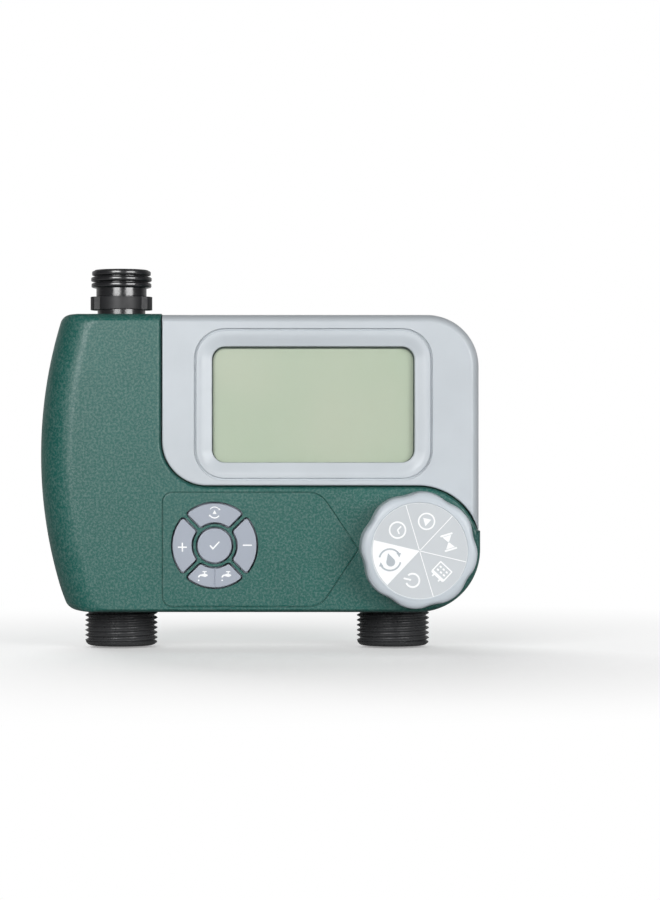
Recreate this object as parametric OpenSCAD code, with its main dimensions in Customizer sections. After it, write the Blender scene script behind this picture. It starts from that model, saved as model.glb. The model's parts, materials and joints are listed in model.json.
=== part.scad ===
// Two-outlet garden watering timer.
// X runs to the right, Z up and +Y to the back, in millimetres. The origin is on the axis of
// the inlet and the left outlet, in the plane of the outlet mouths.

/* [Housing] */
// Inlet axis to the bulge of the left side
side_left = 28.4; // [28:0.1:30]
// Inlet axis to the flat right side
side_right = 129.8; // [129.5:0.1:131]
// Height of the underside above the outlet mouths
body_bottom = 13.8; // [13.6:0.1:14.2]
// Height of the top face
body_top = 120.8; // [120.5:0.1:122]
// Parting plane to the front face
front_depth = 28; // [27.8:0.1:29]
// Parting plane to the rear face
rear_depth = 32; // [31.8:0.1:33]
// Wall thickness of both shells
wall = 2.5; // [2.2:0.1:2.7]
// Radius of the curved left side
bulge_r = 165; // [150:5:190]
// Height of the widest point of the left side
bulge_z = 70; // [66:1:72]
// Radius of the top right corner
corner_r = 19; // [17:0.5:20]
// Radius of the round end under the selector knob
lobe_r = 22.5; // [22.3:0.1:22.7]

/* [Display] */
// Left edge of the grey display cover
cover_left = 15.9; // [15.5:0.1:16.5]
// Width of the window
window_w = 72.5; // [70:0.5:74]
// Height of the window
window_h = 41.5; // [40:0.5:42]
// Corner radius of the window
window_r = 4.6; // [3:0.2:6]
// Centre of the window, sideways
window_x = 70; // [69.5:0.1:70.5]
// Centre of the window, up
window_z = 88.2; // [88:0.1:88.6]
// Width of the sloping frame round the window
rim_w = 6; // [5:0.25:6.5]

/* [Keypad] */
// Centre of the round keypad, sideways
pad_x = 34.7; // [34.5:0.1:35.5]
// Centre of the round keypad, up
pad_z = 37.8; // [37.4:0.1:38]
// Outer radius of the ring of keys
pad_r = 15.4; // [15:0.1:15.6]
// Radius of the round middle key
ok_r = 6.35; // [6:0.05:6.5]
// Width of the webs between the ring keys
web = 1.85; // [1.7:0.05:2.2]
// How far the keys stand out of the front face
key_proud = 1; // [0.8:0.1:1.2]

/* [Selector] */
// Largest radius of the knob
knob_r = 20.8; // [20:0.1:21]
// Depth of the finger scallops
scallop = 0.95; // [0.6:0.05:1.2]
// Number of scallops
scallops = 8; // [6:1:10]
// Height of the knob above the front face
knob_h = 13.5; // [12:0.5:15]
// Radius of the printed dial
dial_r = 17.2; // [16.8:0.1:17.4]

/* [Water connections] */
// Distance between the two outlets
outlet_pitch = 99.5; // [99:0.1:100]
// Crest radius of the G 3/4 outlet thread
thread_r = 13.22; // [13.1:0.01:13.3]
// Root radius of the outlet thread
root_r = 12.06; // [12:0.01:12.2]
// Pitch of the outlet thread
thread_pitch = 1.814; // [1.8:0.001:2.2]
// Number of thread crests
thread_turns = 7; // [6:1:7]
// Bore of each outlet
outlet_bore_r = 8.2; // [7.5:0.1:8.5]
// Height of the inlet mouth
inlet_top = 138; // [137.6:0.1:138.5]
// Crest radius of the coarse inlet thread
inlet_thread_r = 11.1; // [11:0.05:11.2]
// Root radius of the inlet thread
inlet_root_r = 9.7; // [9.5:0.1:9.8]
// Pitch of the inlet thread
inlet_pitch = 2.2; // [2.1:0.05:2.3]
// Bore of the inlet
inlet_bore_r = 6.8; // [6:0.1:7]

/* [Hidden] */
$fn = 64;
gap = 0.15;                              // clearance between parts that only meet
green = [0.10, 0.33, 0.27];
grey = [0.78, 0.80, 0.82];
key_grey = [0.66, 0.69, 0.72];
black = [0.10, 0.10, 0.11];
steel = [0.75, 0.76, 0.78];

// Housing
lobe_x = side_right - lobe_r;            // knob axis, sideways
lobe_z = body_bottom + lobe_r;           // knob axis, up
cover_bottom = body_bottom + 2 * lobe_r; // lower edge of the display cover
cover_sink = 0.4;                        // display cover below the green face
cover_face = -front_depth + cover_sink;
cover_plate = 3.6;                       // thickness of the cover's front plate
cover_skirt = 5;                         // depth of its inner skirt
cover_back = -8;                         // where its outer skirt ends
ledge_back = cover_face + cover_skirt + 1.8;
cover_tail = body_bottom + 29.5;         // lowest point of the cover beside the lobe
cover_corner_r = 20;
face_inner = -front_depth + wall;        // inside of the front plate
rear_inner = rear_depth - wall;
parting = 0.4;                           // half the gasket's thickness
// [inset, depth] of the elliptical edge rounding
left_edge = [13, 14];
edge = [2.6, 3.2];
rear_left_edge = [9, 11];
rear_edge = [4, 5];
edge_steps = [0, 0.02, 0.08, 0.2, 0.4, 0.65, 1];
screw_places = [[-20.3, 100], [-22.8, 64], [28, body_top - 5.4],
    [side_right - 9.2, body_top - 9.4], [side_right - 5.2, 66],
    [lobe_x + 13.1, lobe_z - 12.2], [50, body_bottom + 5.5]];
screw_r = 1.45;
screw_head_y = 22;

// Keypad and selector
key_gap = 0.25;
key_travel = 1;
key_flange = 0.6;                        // how far a key's retaining flange stands out
ring_in = ok_r + 1.65;                   // inner radius of the ring keys
pivot_y = -25;                           // axis that the bottom key rocks on
pivot_r = 0.7;
pivot_z = [pad_z - pad_r - 1.5, pad_z - ring_in + 0.9];
dome_ring = 11.7;                        // radius that the domes of the ring keys lie on
rocker_dome = [4.3, -10.9];
dome_top = -22.4;
board_front = -17;
board_t = 1.6;
board_back = board_front + board_t;
panel_tip = 86.4;                        // point of the arrow-shaped keypad panel
panel_turn = 70.3;                       // where its slanting sides start
panel_edge = 1.9;
knob_base = -front_depth - 0.5;
knob_top = -front_depth - knob_h;
shaft_r = 3;
dial_t = 0.8;
board_screw_places = [[24.5, 108], [side_right - 11, 106], [66, 22], [20.5, 20.5]];

// Battery compartment
cell_r = 7.1;
cell_l = 50.5;
cell_pitch = 15.2;
tray_x = 72.25;
tray_z = 91.6;
tray_w = 60.3;
tray_h = 33.2;
tray_front = 13;
tray_back = 29.98;
cell_y = 22;
door_w = 68;
door_h = 39;
door_in = rear_depth - 1.5;
door_out = rear_depth + 0.3;
hinge_y = rear_depth + 0.2;
hinge_z = tray_z - door_h / 2 - 0.6;
hinge_r = 1.9;
knuckle = [24.4, 31];                    // ends of the outer knuckles from the door's middle
pin_r = 0.9;

// Valves
outlet_end = 24;                         // inner end of each outlet's tube
socket_top = 26.4;                       // top of the sockets the outlets plug into
valve_r = 17.5;
valve_z = socket_top + valve_r + 0.3;
chamber_r = 11.5;
seat_r = 7.2;
seat_bore_r = 5.2;
seat_y = 6;
rubber_t = 1.2;
bonnet_y = seat_y + rubber_t;
bonnet_top = 15;
bonnet_screw_ring = 15.2;
plunger_r = 4;
plunger_y = 10.2;
guide_r = 5;
guide_end = 28;
tube_start = valve_z + valve_r + 0.2;    // the tubes are full round above this height
tube_r = 9.5;
cross_z = tube_start + tube_r - 2;       // axis of the cross tube
passage_y = -7.4;                        // axis of the ducts from the seats to the outlets
passage_r = 4;
outlet_x = [0, outlet_pitch];

// Places where the pipes leave the housing
outlet_hole_r = 13;
inlet_neck_r = 9.2;
inlet_hole_r = 10.1;
inlet_seat = inlet_top - 6.8;            // lower end of the inlet thread
collar_z = [body_top + 2.4, body_top + 7.1];
lug_r = 11.3;                            // reach of the two bayonet lugs

// ---------- helpers ----------

// 2D (x, z) shape made solid from y0 to y1
module plate(y0, y1) {
    translate([0, y1, 0]) rotate([90, 0, 0]) linear_extrude(y1 - y0) children();
}

module y_cylinder(x, z, r, y0, y1) {
    translate([x, y1, z]) rotate([90, 0, 0]) cylinder(r = r, h = y1 - y0);
}

module x_cylinder(y, z, r, x0, x1) {
    translate([x0, y, z]) rotate([0, 90, 0]) cylinder(r = r, h = x1 - x0);
}

module z_cylinder(x, y, r, z0, z1) {
    translate([x, y, z0]) cylinder(r = r, h = z1 - z0);
}

module y_ring(x, z, r_out, r_in, y0, y1) {
    difference() {
        y_cylinder(x, z, r_out, y0, y1);
        y_cylinder(x, z, r_in, y0 - 1, y1 + 1);
    }
}

module z_ring(x, y, r_out, r_in, z0, z1) {
    difference() {
        z_cylinder(x, y, r_out, z0, z1);
        z_cylinder(x, y, r_in, z0 - 1, z1 + 1);
    }
}

module box(x0, x1, y0, y1, z0, z1) {
    translate([x0, y0, z0]) cube([x1 - x0, y1 - y0, z1 - z0]);
}

module rounded_rect(w, h, r) {
    union() {
        square([w - 2 * r, h], center = true);
        square([w, h - 2 * r], center = true);
        for (sx = [-1, 1], sz = [-1, 1])
            translate([sx * (w / 2 - r), sz * (h / 2 - r)]) circle(r = r);
    }
}

// Torus about the Z axis
module torus(r, section) {
    rotate_extrude() translate([r, 0]) circle(r = section, $fn = 24);
}

// Unit vector along v
function unit(v) = v / norm(v);

// Insulated wire along a list of points, with n sides
module wire(points, r, n = 10) {
    last = len(points) - 1;
    rings = [for (i = [0 : last])
        let(t = unit(unit(points[min(i + 1, last)] - points[min(i, last - 1)])
                + unit(points[max(i, 1)] - points[max(i - 1, 0)])),
            u = unit(cross([0.9, 0.1, 0.3], t)), v = cross(t, u))
        each [for (j = [0 : n - 1]) points[i] + r * (cos(360 * j / n) * u + sin(360 * j / n) * v)]];
    walls = [for (i = [0 : last - 1], j = [0 : n - 1])
        let(a = i * n + j, b = i * n + (j + 1) % n) each [[a, b + n, b], [a, a + n, b + n]]];
    polyhedron(rings, concat([[for (j = [0 : n - 1]) j]], walls,
        [[for (j = [n - 1 : -1 : 0]) last * n + j]]), convexity = 6);
}

// Closed coil about the Z axis, from r0 at the bottom to r1 at the top
module coil(r0, r1, wire_r, turns, length, per_turn = 14, sides = 6) {
    steps = turns * per_turn;
    points = [for (i = [0 : steps], j = [0 : sides - 1])
        let(t = i / steps, a = 360 * i / per_turn, b = 360 * j / sides,
            r = r0 + (r1 - r0) * t + wire_r * cos(b))
        [r * cos(a), r * sin(a), wire_r + (length - 2 * wire_r) * t + wire_r * sin(b)]];
    walls = [for (i = [0 : steps - 1], j = [0 : sides - 1])
        let(a = i * sides + j, b = i * sides + (j + 1) % sides)
        each [[a, b, b + sides], [a, b + sides, a + sides]]];
    polyhedron(points, concat([[for (j = [sides - 1 : -1 : 0]) j]], walls,
        [[for (j = [0 : sides - 1]) steps * sides + j]]), convexity = 8);
}

// ---------- housing outline ----------

function arc(cx, cz, ax, az, from, to, n) =
    [for (i = [0 : n]) let(a = from + (to - from) * i / n) [cx + ax * cos(a), cz + az * sin(a)]];

// Front outline with the left, right, top and bottom sides moved inwards
function outline(l, r, t, b, small_r = 4) =
    let(zt = body_top - t, zb = body_bottom + b, cx = bulge_r - side_left + l,
        reach = bulge_r - small_r,
        top_dz = zt - small_r - bulge_z, bottom_dz = bulge_z - zb - small_r,
        top_a = asin(top_dz / reach), bottom_a = asin(bottom_dz / reach),
        top_cx = cx - reach * cos(top_a), bottom_cx = cx - reach * cos(bottom_a),
        corner_x = side_right - corner_r, corner_z = body_top - corner_r)
    concat(
        arc(lobe_x, lobe_z, lobe_r - r, lobe_r - b, -90, 0, 12),
        arc(corner_x, corner_z, corner_r - r, corner_r - t, 0, 90, 12),
        arc(top_cx, zt - small_r, small_r, small_r, 90, 180 - top_a, 5),
        [for (i = [1 : 13]) let(a = 180 - top_a + (top_a + bottom_a) * i / 14)
            [cx + bulge_r * cos(a), bulge_z + bulge_r * sin(a)]],
        arc(bottom_cx, zb + small_r, small_r, small_r, 180 + bottom_a, 270, 5));

// Inset of an edge rounding [w, d] at a depth below the face
function round_in(e, depth) =
    let(t = min(1, max(0, depth / e[1]))) e[0] * (1 - sqrt(1 - (1 - t) * (1 - t)));

function middle(points) =
    [for (k = [0, 1]) [for (p = points) p[k]] * [for (p = points) 1]] / len(points);

// Solid through a list of [y, outline] layers, from the front to the back
module loft(layers) {
    n = len(layers[0][1]);
    last = len(layers) - 1;
    ends = [for (i = [0, last]) let(m = middle(layers[i][1])) [m[0], layers[i][0], m[1]]];
    points = concat([for (s = layers) each [for (p = s[1]) [p[0], s[0], p[1]]]], ends);
    front = len(points) - 2;
    back = len(points) - 1;
    walls = [for (i = [0 : last - 1], j = [0 : n - 1])
        let(a = i * n + j, b = i * n + (j + 1) % n) each [[a, b + n, a + n], [a, b, b + n]]];
    caps = [for (j = [0 : n - 1]) let(k = (j + 1) % n)
        each [[front, k, j], [back, last * n + j, last * n + k]]];
    polyhedron(points, concat(walls, caps), convexity = 6);
}

// Front half of the housing's volume, shrunk by inset, with its open end at y
module front_volume(inset, y) {
    face = -front_depth + inset;
    depths = concat([for (s = edge_steps) s * edge[1]], [for (s = [0.45, 1]) s * left_edge[1]]);
    loft([for (d = concat(depths, [y - face]))
        let(l = round_in(left_edge, d), s = round_in(edge, d))
        [face + d, outline(inset + l, inset + s, inset + s, inset + s)]]);
}

// Rear half of the housing's volume, shrunk by inset, with its open end at y
module rear_volume(inset, y) {
    face = rear_depth - inset;
    depths = concat([rear_left_edge[1], 0.6 * rear_left_edge[1]],
        [for (i = [len(edge_steps) - 1 : -1 : 0]) edge_steps[i] * rear_edge[1]]);
    loft(concat([[y, outline(inset, inset, inset, inset)]], [for (d = depths)
        let(l = round_in(rear_left_edge, d), s = round_in(rear_edge, d))
        [face - d, outline(inset + l, inset + s, inset + s, inset + s)]]));
}

// ---------- display cover outline ----------

// Area of the grey display cover, with its inner edges moved by inset
module cover_area(inset, outer = 1) {
    x0 = cover_left + inset;
    z0 = cover_bottom + inset;
    r = cover_corner_r - inset;
    lobe = lobe_r + inset;
    tail_a = asin((cover_tail + inset - lobe_z) / lobe);
    right = side_right + outer;
    top = body_top + outer;
    polygon(concat([[x0, top]], arc(x0 + r, z0 + r, r, r, 180, 270, 14),
        arc(lobe_x, lobe_z, lobe, lobe, 90, tail_a, 12),
        [[right, cover_tail + inset], [right, top]]));
}

// Frame round the inner edges of the cover, inside the green shell
module cover_frame(out, in) {
    difference() {
        cover_area(out);
        cover_area(in);
    }
}

// ---------- keypad outlines ----------

// Ring key that faces up, grown by g
module ring_key(g = 0) {
    r1 = pad_r + g;
    r0 = ring_in - g;
    h = web / 2 - g;
    a1 = asin(h / r1);
    a0 = asin(h / r0);
    round_r = 0.7;
    offset(r = round_r, $fn = 16) offset(delta = -round_r)
        polygon(concat(arc(0, 0, r1, r1, 45 + a1, 135 - a1, 16),
            arc(0, 0, r0, r0, 135 - a0, 45 + a0, 10)));
}

module at_pad(angle = 0) {
    translate([pad_x, pad_z]) rotate(angle) children();
}

// Arrow-shaped panel round the keypad, pointing at the knob
module panel_area(inset) {
    x0 = cover_left + inset;
    z0 = body_bottom + panel_edge + inset;
    z1 = cover_bottom - panel_edge - inset;
    r = 3.4;
    slant = panel_turn - 0.4 * inset;
    polygon(concat(arc(x0 + r, z1 - r, r, r, 90, 180, 5), arc(x0 + r, z0 + r, r, r, 180, 270, 5),
        [[slant, z0], [slant + 3.4, z0 + 2], [panel_tip - 1.3 * inset, lobe_z],
            [slant + 3.4, z1 - 2], [slant, z1]]));
}

// ---------- housing ----------

module pipe_holes() {
    for (x = outlet_x) z_cylinder(x, 0, outlet_hole_r, body_bottom - 2, body_bottom + 4);
    z_cylinder(0, 0, inlet_hole_r, body_top - 4, body_top + 2);
}

module front_shell() color(green) difference() {
    union() {
        difference() {
            front_volume(0, -parting);
            front_volume(wall, 1);
            plate(-front_depth - 1, cover_back + gap) cover_area(-gap);
        }
        // frame and ledge behind the edge of the display cover
        intersection() {
            inset = wall + cover_sink + gap;
            plate(face_inner - 1, -20) polygon(outline(inset, inset, inset, inset));
            union() {
                plate(face_inner - 0.6, ledge_back) cover_frame(-gap - 2, -gap);
                plate(cover_face + cover_skirt + gap, ledge_back) cover_frame(-gap - 2, 4.5);
            }
        }
        for (p = screw_places)
            y_cylinder(p[0], p[1], 3.4, p[1] < 25 || p[0] < 0 ? -14 : cover_back + 1, -parting);
        y_cylinder(lobe_x, lobe_z, 6.2, face_inner - 1, -22.5);
        for (i = [2, 3])
            y_cylinder(board_screw_places[i][0], board_screw_places[i][1], 2.8,
                face_inner - 1, board_front - 0.02);
    }
    // panel groove and key openings
    plate(-front_depth - 1, -front_depth + 0.4) difference() {
        panel_area(0);
        panel_area(0.5);
    }
    plate(-front_depth - 2, face_inner + 1) at_pad() {
        for (a = [0, 90, 180, 270]) rotate(a) ring_key(key_gap);
        circle(r = ok_r + key_gap);
    }
    // bearing of the bottom key's pivot
    z_cylinder(pad_x, pivot_y, pivot_r + 0.1, pivot_z[0] - gap, pivot_z[1] + gap);
    // knob shaft and its seal seat
    y_cylinder(lobe_x, lobe_z, shaft_r + 0.1, -front_depth - 2, -20);
    y_cylinder(lobe_x, lobe_z, 4.9, -24.4, -20);
    pipe_holes();
    for (p = screw_places) y_cylinder(p[0], p[1], screw_r + 0.05, -13, 1);
    for (i = [2, 3])
        y_cylinder(board_screw_places[i][0], board_screw_places[i][1], 1.05, -23, -16);
    cover_screw_holes(0.85);
}

module rear_shell() color(green) difference() {
    union() {
        difference() {
            rear_volume(0, parting);
            rear_volume(wall, -1);
        }
        intersection() {
            rear_volume(0.3, parting);
            for (p = screw_places) y_cylinder(p[0], p[1], 4.4, parting, rear_depth);
        }
        // frame round the battery opening
        box(tray_x - 35.9, tray_x + 35.9, 26.4, rear_depth - 1.1,
            tray_z - 21.4, tray_z + 21.4);
        outer_knuckles();
    }
    for (p = screw_places) {
        y_cylinder(p[0], p[1], screw_r + 0.2, -1, screw_head_y);
        y_cylinder(p[0], p[1], 3.1, screw_head_y, rear_depth + 1);
    }
    door_pocket();
    pipe_holes();
}

// Recess for the door, the tray opening and the hinge, with room for the outer knuckles
module door_pocket() {
    difference() {
        box(tray_x - door_w / 2 - 0.25, tray_x + door_w / 2 + 0.25, rear_depth - 2,
            rear_depth + 4, tray_z - door_h / 2 - 0.1, tray_z + door_h / 2 + 0.3);
        outer_knuckles();
    }
    box(tray_x - tray_w / 2 - gap, tray_x + tray_w / 2 + gap, 20, rear_depth + 1,
        tray_z - tray_h / 2 - gap, tray_z + tray_h / 2 + gap);
    x_cylinder(hinge_y, hinge_z, hinge_r + 0.3, tray_x - knuckle[0] - 0.1,
        tray_x + knuckle[0] + 0.1);
    x_cylinder(hinge_y, hinge_z, pin_r + 0.03, tray_x - 32, tray_x + 32);
}

module outer_knuckles(g = 0) {
    for (s = [-1, 1]) {
        x = tray_x + s * (knuckle[0] + knuckle[1]) / 2;
        half = (knuckle[1] - knuckle[0]) / 2 + g;
        x_cylinder(hinge_y, hinge_z, hinge_r + g, x - half, x + half);
    }
}

// Flat cord between the rims, with a sleeve round each pipe
module housing_gasket() color("dimgray") union() {
    flat_gasket();
    for (x = outlet_x)
        z_ring(x, 0, outlet_hole_r - 0.04, root_r + 0.06, body_bottom + 0.7, body_bottom + 2.3);
    z_ring(0, 0, inlet_hole_r - 0.04, inlet_neck_r + 0.05, body_top - 2, body_top - 0.5);
}

module flat_gasket() difference() {
    plate(-parting, parting) difference() {
        polygon(outline(0.6, 0.6, 0.6, 0.6));
        polygon(outline(1.9, 1.9, 1.9, 1.9));
    }
    for (x = outlet_x) z_cylinder(x, 0, outlet_hole_r - 0.5, body_bottom - 2, body_bottom + 4);
    z_cylinder(0, 0, inlet_hole_r - 0.4, body_top - 4, body_top + 2);
}

module housing_screws() color(steel) for (p = screw_places) difference() {
    union() {
        y_cylinder(p[0], p[1], screw_r, -12, screw_head_y + 0.1);
        y_cylinder(p[0], p[1], 2.8, screw_head_y + 0.02, screw_head_y + 2);
    }
    for (a = [0, 90]) translate([p[0], screw_head_y + 2, p[1]]) rotate([0, a, 0])
        cube([3, 1.8, 0.7], center = true);
}

// ---------- display ----------

cover_screw_places = [for (x = [40, 66, 92]) [x, cover_bottom + 2.6]];

module cover_screw_holes(r) {
    for (p = cover_screw_places)
        y_cylinder(p[0], p[1], r, -24.5, ledge_back + 1);
}

module display_cover() color(grey) difference() {
    union() {
        intersection() {
            difference() {
                front_volume(cover_sink, cover_back);
                front_volume(wall + cover_sink, cover_back + 1);
            }
            plate(-front_depth - 1, cover_back) cover_area(0);
        }
        intersection() {
            front_volume(cover_sink + 0.6, -20);
            union() {
                plate(-front_depth, cover_face + cover_plate) cover_area(0);
                plate(-front_depth, cover_face + cover_skirt) cover_frame(0, 2.2);
                for (p = cover_screw_places)
                    y_cylinder(p[0], p[1], 2.4, cover_face + 1, cover_face + cover_skirt);
            }
        }
        for (i = [0, 1])
            y_cylinder(board_screw_places[i][0], board_screw_places[i][1], 2.8,
                cover_face + cover_plate - 1, board_front - 0.02);
    }
    // sloping frame, window opening and lens seat
    translate([window_x, 0, window_z]) hull() {
        plate(cover_face - 1, cover_face + 0.3)
            rounded_rect(window_w + 2 * rim_w, window_h + 2 * rim_w, window_r + rim_w, $fn = 32);
        plate(cover_face - 1, cover_face + 1.6)
            rounded_rect(window_w + 0.6, window_h + 0.6, window_r + 0.3, $fn = 32);
    }
    translate([window_x, 0, window_z]) {
        plate(-front_depth - 1, -20) rounded_rect(window_w, window_h, window_r);
        plate(-25.2, -20) rounded_rect(window_w + 4.2, window_h + 3.2, window_r + 1);
    }
    for (i = [0, 1])
        y_cylinder(board_screw_places[i][0], board_screw_places[i][1], 1.05, -23.5, -16);
    for (p = cover_screw_places) y_cylinder(p[0], p[1], 0.8, -25.4, -20);
}

module cover_screws() color(steel) for (p = cover_screw_places) {
    y_cylinder(p[0], p[1], 0.75, -25, ledge_back + 0.2);
    y_cylinder(p[0], p[1], 1.7, ledge_back + 0.05, ledge_back + 1.2);
}

module display_window() color([0.8, 0.85, 0.85, 0.4])
    translate([window_x, 0, window_z]) plate(-25.15, -24.05)
        rounded_rect(window_w + 3.8, window_h + 2.8, window_r + 0.8);

module window_seal() color("dimgray") translate([window_x, 0, window_z])
    plate(-24, -23.45) difference() {
        rounded_rect(window_w + 3.8, window_h + 2.8, window_r + 0.8);
        rounded_rect(window_w + 0.6, window_h + 0.6, window_r);
    }

module lcd_panel() color([0.68, 0.73, 0.62]) translate([window_x, 0, window_z])
    plate(-23.4, -21.3) square([window_w + 3.4, window_h + 2.6], center = true);

module lcd_holder() color("white") translate([window_x, 0, window_z]) difference() {
    plate(-23.4, board_front - 0.02) square([window_w + 7, window_h + 5.6], center = true);
    plate(-24, -21.2) square([window_w + 3.8, window_h + 2.9], center = true);
    plate(-24, -16) square([window_w - 2, window_h - 1], center = true);
}

module lcd_contact_strips() color("hotpink") for (s = [-1, 1])
    translate([window_x, 0, window_z + s * (window_h / 2 - 2)])
        plate(-21.25, board_front - 0.02) square([window_w - 4, 2.2], center = true);

// ---------- electronics ----------

module circuit_board() color([0.05, 0.35, 0.2]) difference() {
    plate(board_front, board_back) intersection() {
        polygon(outline(5, 5, 5, 4.6));
        translate([18.6, 0]) square([120, 200]);
    }
    for (p = board_screw_places) y_cylinder(p[0], p[1], 1.2, -20, -10);
}

module board_screws() color(steel) for (p = board_screw_places) {
    y_cylinder(p[0], p[1], 1, -22.5, board_back + 0.1);
    y_cylinder(p[0], p[1], 2.1, board_back + 0.02, board_back + 1.4);
}

module controller_chip() color(black) union() {
    box(64, 78, board_back + 0.2, board_back + 1.6, 84, 98);
    for (i = [0 : 9], s = [-1, 1])
        box(71 + s * 7.7 - 0.8, 71 + s * 7.7 + 0.8, board_back + 0.02, board_back + 0.5,
            85 + i * 1.25, 85.6 + i * 1.25);
}

module board_capacitors() color("midnightblue")
    for (p = [[24, 96], [34, 96]]) y_cylinder(p[0], p[1], 3.15, board_back + 0.02, board_back + 8);

module buzzer() color(black) y_ring(50, 42, 6, 0.9, board_back + 0.02, board_back + 5);

module rotary_switch() color("navy") difference() {
    box(lobe_x - 8, lobe_x + 8, -22.3, board_front - 0.02, lobe_z - 8, lobe_z + 8);
    y_cylinder(lobe_x, lobe_z, shaft_r + 0.05, -23, -17.6);
}

// ---------- selector ----------

module switch_shaft() color("silver") difference() {
    y_cylinder(lobe_x, lobe_z, shaft_r, -37.5, -17.7);
    y_cylinder(lobe_x, lobe_z, 1.45, -38, -31);
}

module shaft_seal() color(black) translate([lobe_x, -23.45, lobe_z])
    rotate([90, 0, 0]) torus(3.93, 0.9);

// Scalloped outline of the knob, drawn in by inset, with the scallops fading by fade
function knob_outline(inset, fade) = [for (i = [0 : 95]) let(a = 360 * i / 96,
    r = knob_r - inset - fade * scallop / 2 * (1 + cos(scallops * (a - 14))))
    [lobe_x + r * cos(a), lobe_z + r * sin(a)]];

module selector_knob() color(grey) difference() {
    union() {
        difference() {
            loft([[knob_top, knob_outline(3.1, 0)], [knob_top + 0.3, knob_outline(2.5, 0.2)],
                [knob_top + 1.1, knob_outline(2, 0.6)], [knob_top + 3, knob_outline(1.2, 0.9)],
                [knob_base - 2, knob_outline(0, 1)], [knob_base, knob_outline(0.1, 1)]]);
            y_cylinder(lobe_x, lobe_z, 16.4, knob_top + 3, knob_base + 1);
        }
        y_cylinder(lobe_x, lobe_z, 5.6, knob_top + 2, knob_base - 0.3);
    }
    y_cylinder(lobe_x, lobe_z, dial_r + 0.1, knob_top - 1, knob_top + dial_t);
    y_cylinder(lobe_x, lobe_z, shaft_r + 0.03, -37.6, knob_base + 1);
    y_cylinder(lobe_x, lobe_z, 1.6, -39, -36);
    y_cylinder(lobe_x, lobe_z, 3, knob_top, -38.6);
}

module knob_dial() color([0.8, 0.82, 0.84])
    y_cylinder(lobe_x, lobe_z, dial_r, knob_top + 0.1, knob_top + dial_t - 0.02);

module knob_screw() color(steel) union() {
    y_cylinder(lobe_x, lobe_z, 1.4, -38.7, -32);
    y_cylinder(lobe_x, lobe_z, 2.7, -40.4, -38.62);
}

// ---------- keys ----------

// Key at an angle round the pad: cap, retaining flange and foot
module ring_key_solid(angle) {
    union() {
        plate(-front_depth - key_proud, -24.4) at_pad(angle) ring_key();
        plate(face_inner + 0.1, -24.4) at_pad(angle) ring_key(key_flange);
        plate(-24.5, dome_top) at_pad(angle) translate([0, dome_ring]) circle(r = 2.4);
    }
}

module manual_key() color(key_grey) ring_key_solid(0);
module plus_key() color(key_grey) ring_key_solid(90);
module minus_key() color(key_grey) ring_key_solid(270);

module ok_key() color(key_grey) union() {
    y_cylinder(pad_x, pad_z, ok_r, -front_depth - key_proud, -24.4);
    y_cylinder(pad_x, pad_z, ok_r + key_flange, face_inner + 0.1, -24.4);
    y_cylinder(pad_x, pad_z, 2.4, -24.5, dome_top);
}

// One cap over two domes, with a groove between its halves
module outlet_rocker_key() color(key_grey) difference() {
    union() {
        plate(-front_depth - key_proud, -23.8) at_pad(180) ring_key();
        plate(-24.6, -23.8) at_pad(180) ring_key(key_flange);
        for (s = [-1, 1])
            plate(-24, dome_top) at_pad() translate([s * rocker_dome[0], rocker_dome[1]])
                circle(r = 1.8);
        z_cylinder(pad_x, pivot_y, pivot_r, pivot_z[0], pivot_z[1]);
    }
    box(pad_x - 0.3, pad_x + 0.3, -30, -front_depth - key_proud + 0.35, pad_z - 17, pad_z - 6);
}

module keypad_mat() color([0.85, 0.85, 0.82]) difference() {
    spots = concat([[0, 0]], [for (a = [0, 90, 180]) dome_ring * [cos(a), sin(a)]],
        [for (s = [-1, 1]) [s * rocker_dome[0], rocker_dome[1]]]);
    union() {
        y_cylinder(pad_x, pad_z, 17.4, -18.2, board_front - 0.02);
        for (p = spots) translate([pad_x + p[0], -18.3, pad_z + p[1]]) rotate([90, 0, 0])
            cylinder(r1 = 4, r2 = 2.9, h = -18.3 - dome_top - 0.02);
    }
    for (p = spots) y_cylinder(pad_x + p[0], pad_z + p[1], 2.2, -20.6, -16);
}

// ---------- battery compartment ----------

module battery_tray() color("dimgray") difference() {
    box(tray_x - tray_w / 2, tray_x + tray_w / 2, tray_front, tray_back,
        tray_z - tray_h / 2, tray_z + tray_h / 2);
    box(tray_x - 28.8, tray_x + 28.8, tray_front + 1.6, tray_back + 1,
        tray_z - 15.2, tray_z + 15.2);
}

// Cell row s, seen from the end its spring is at
module cell_row(s) {
    translate([tray_x, cell_y, tray_z + s * cell_pitch / 2]) mirror([s < 0 ? 1 : 0, 0, 0])
        rotate([0, 90, 0]) children();
}

module batteries() color("goldenrod") for (s = [-1, 1]) cell_row(s) {
    translate([0, 0, 28.3 - cell_l]) cylinder(r = cell_r, h = cell_l - 1.2);
    translate([0, 0, 28.3 - 2]) cylinder(r = 2.7, h = 2);
}

module contact_springs() color(steel) for (s = [-1, 1]) cell_row(s)
    translate([0, 0, -28.3]) coil(4.6, 3.2, 0.45, 4, 28.3 * 2 - cell_l - 0.1);

module contact_plates() color("silver") for (s = [-1, 1], e = [-1, 1])
    translate([tray_x + e * 28.55, cell_y, tray_z + s * cell_pitch / 2])
        cube([0.4, 11, 12], center = true);

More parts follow.
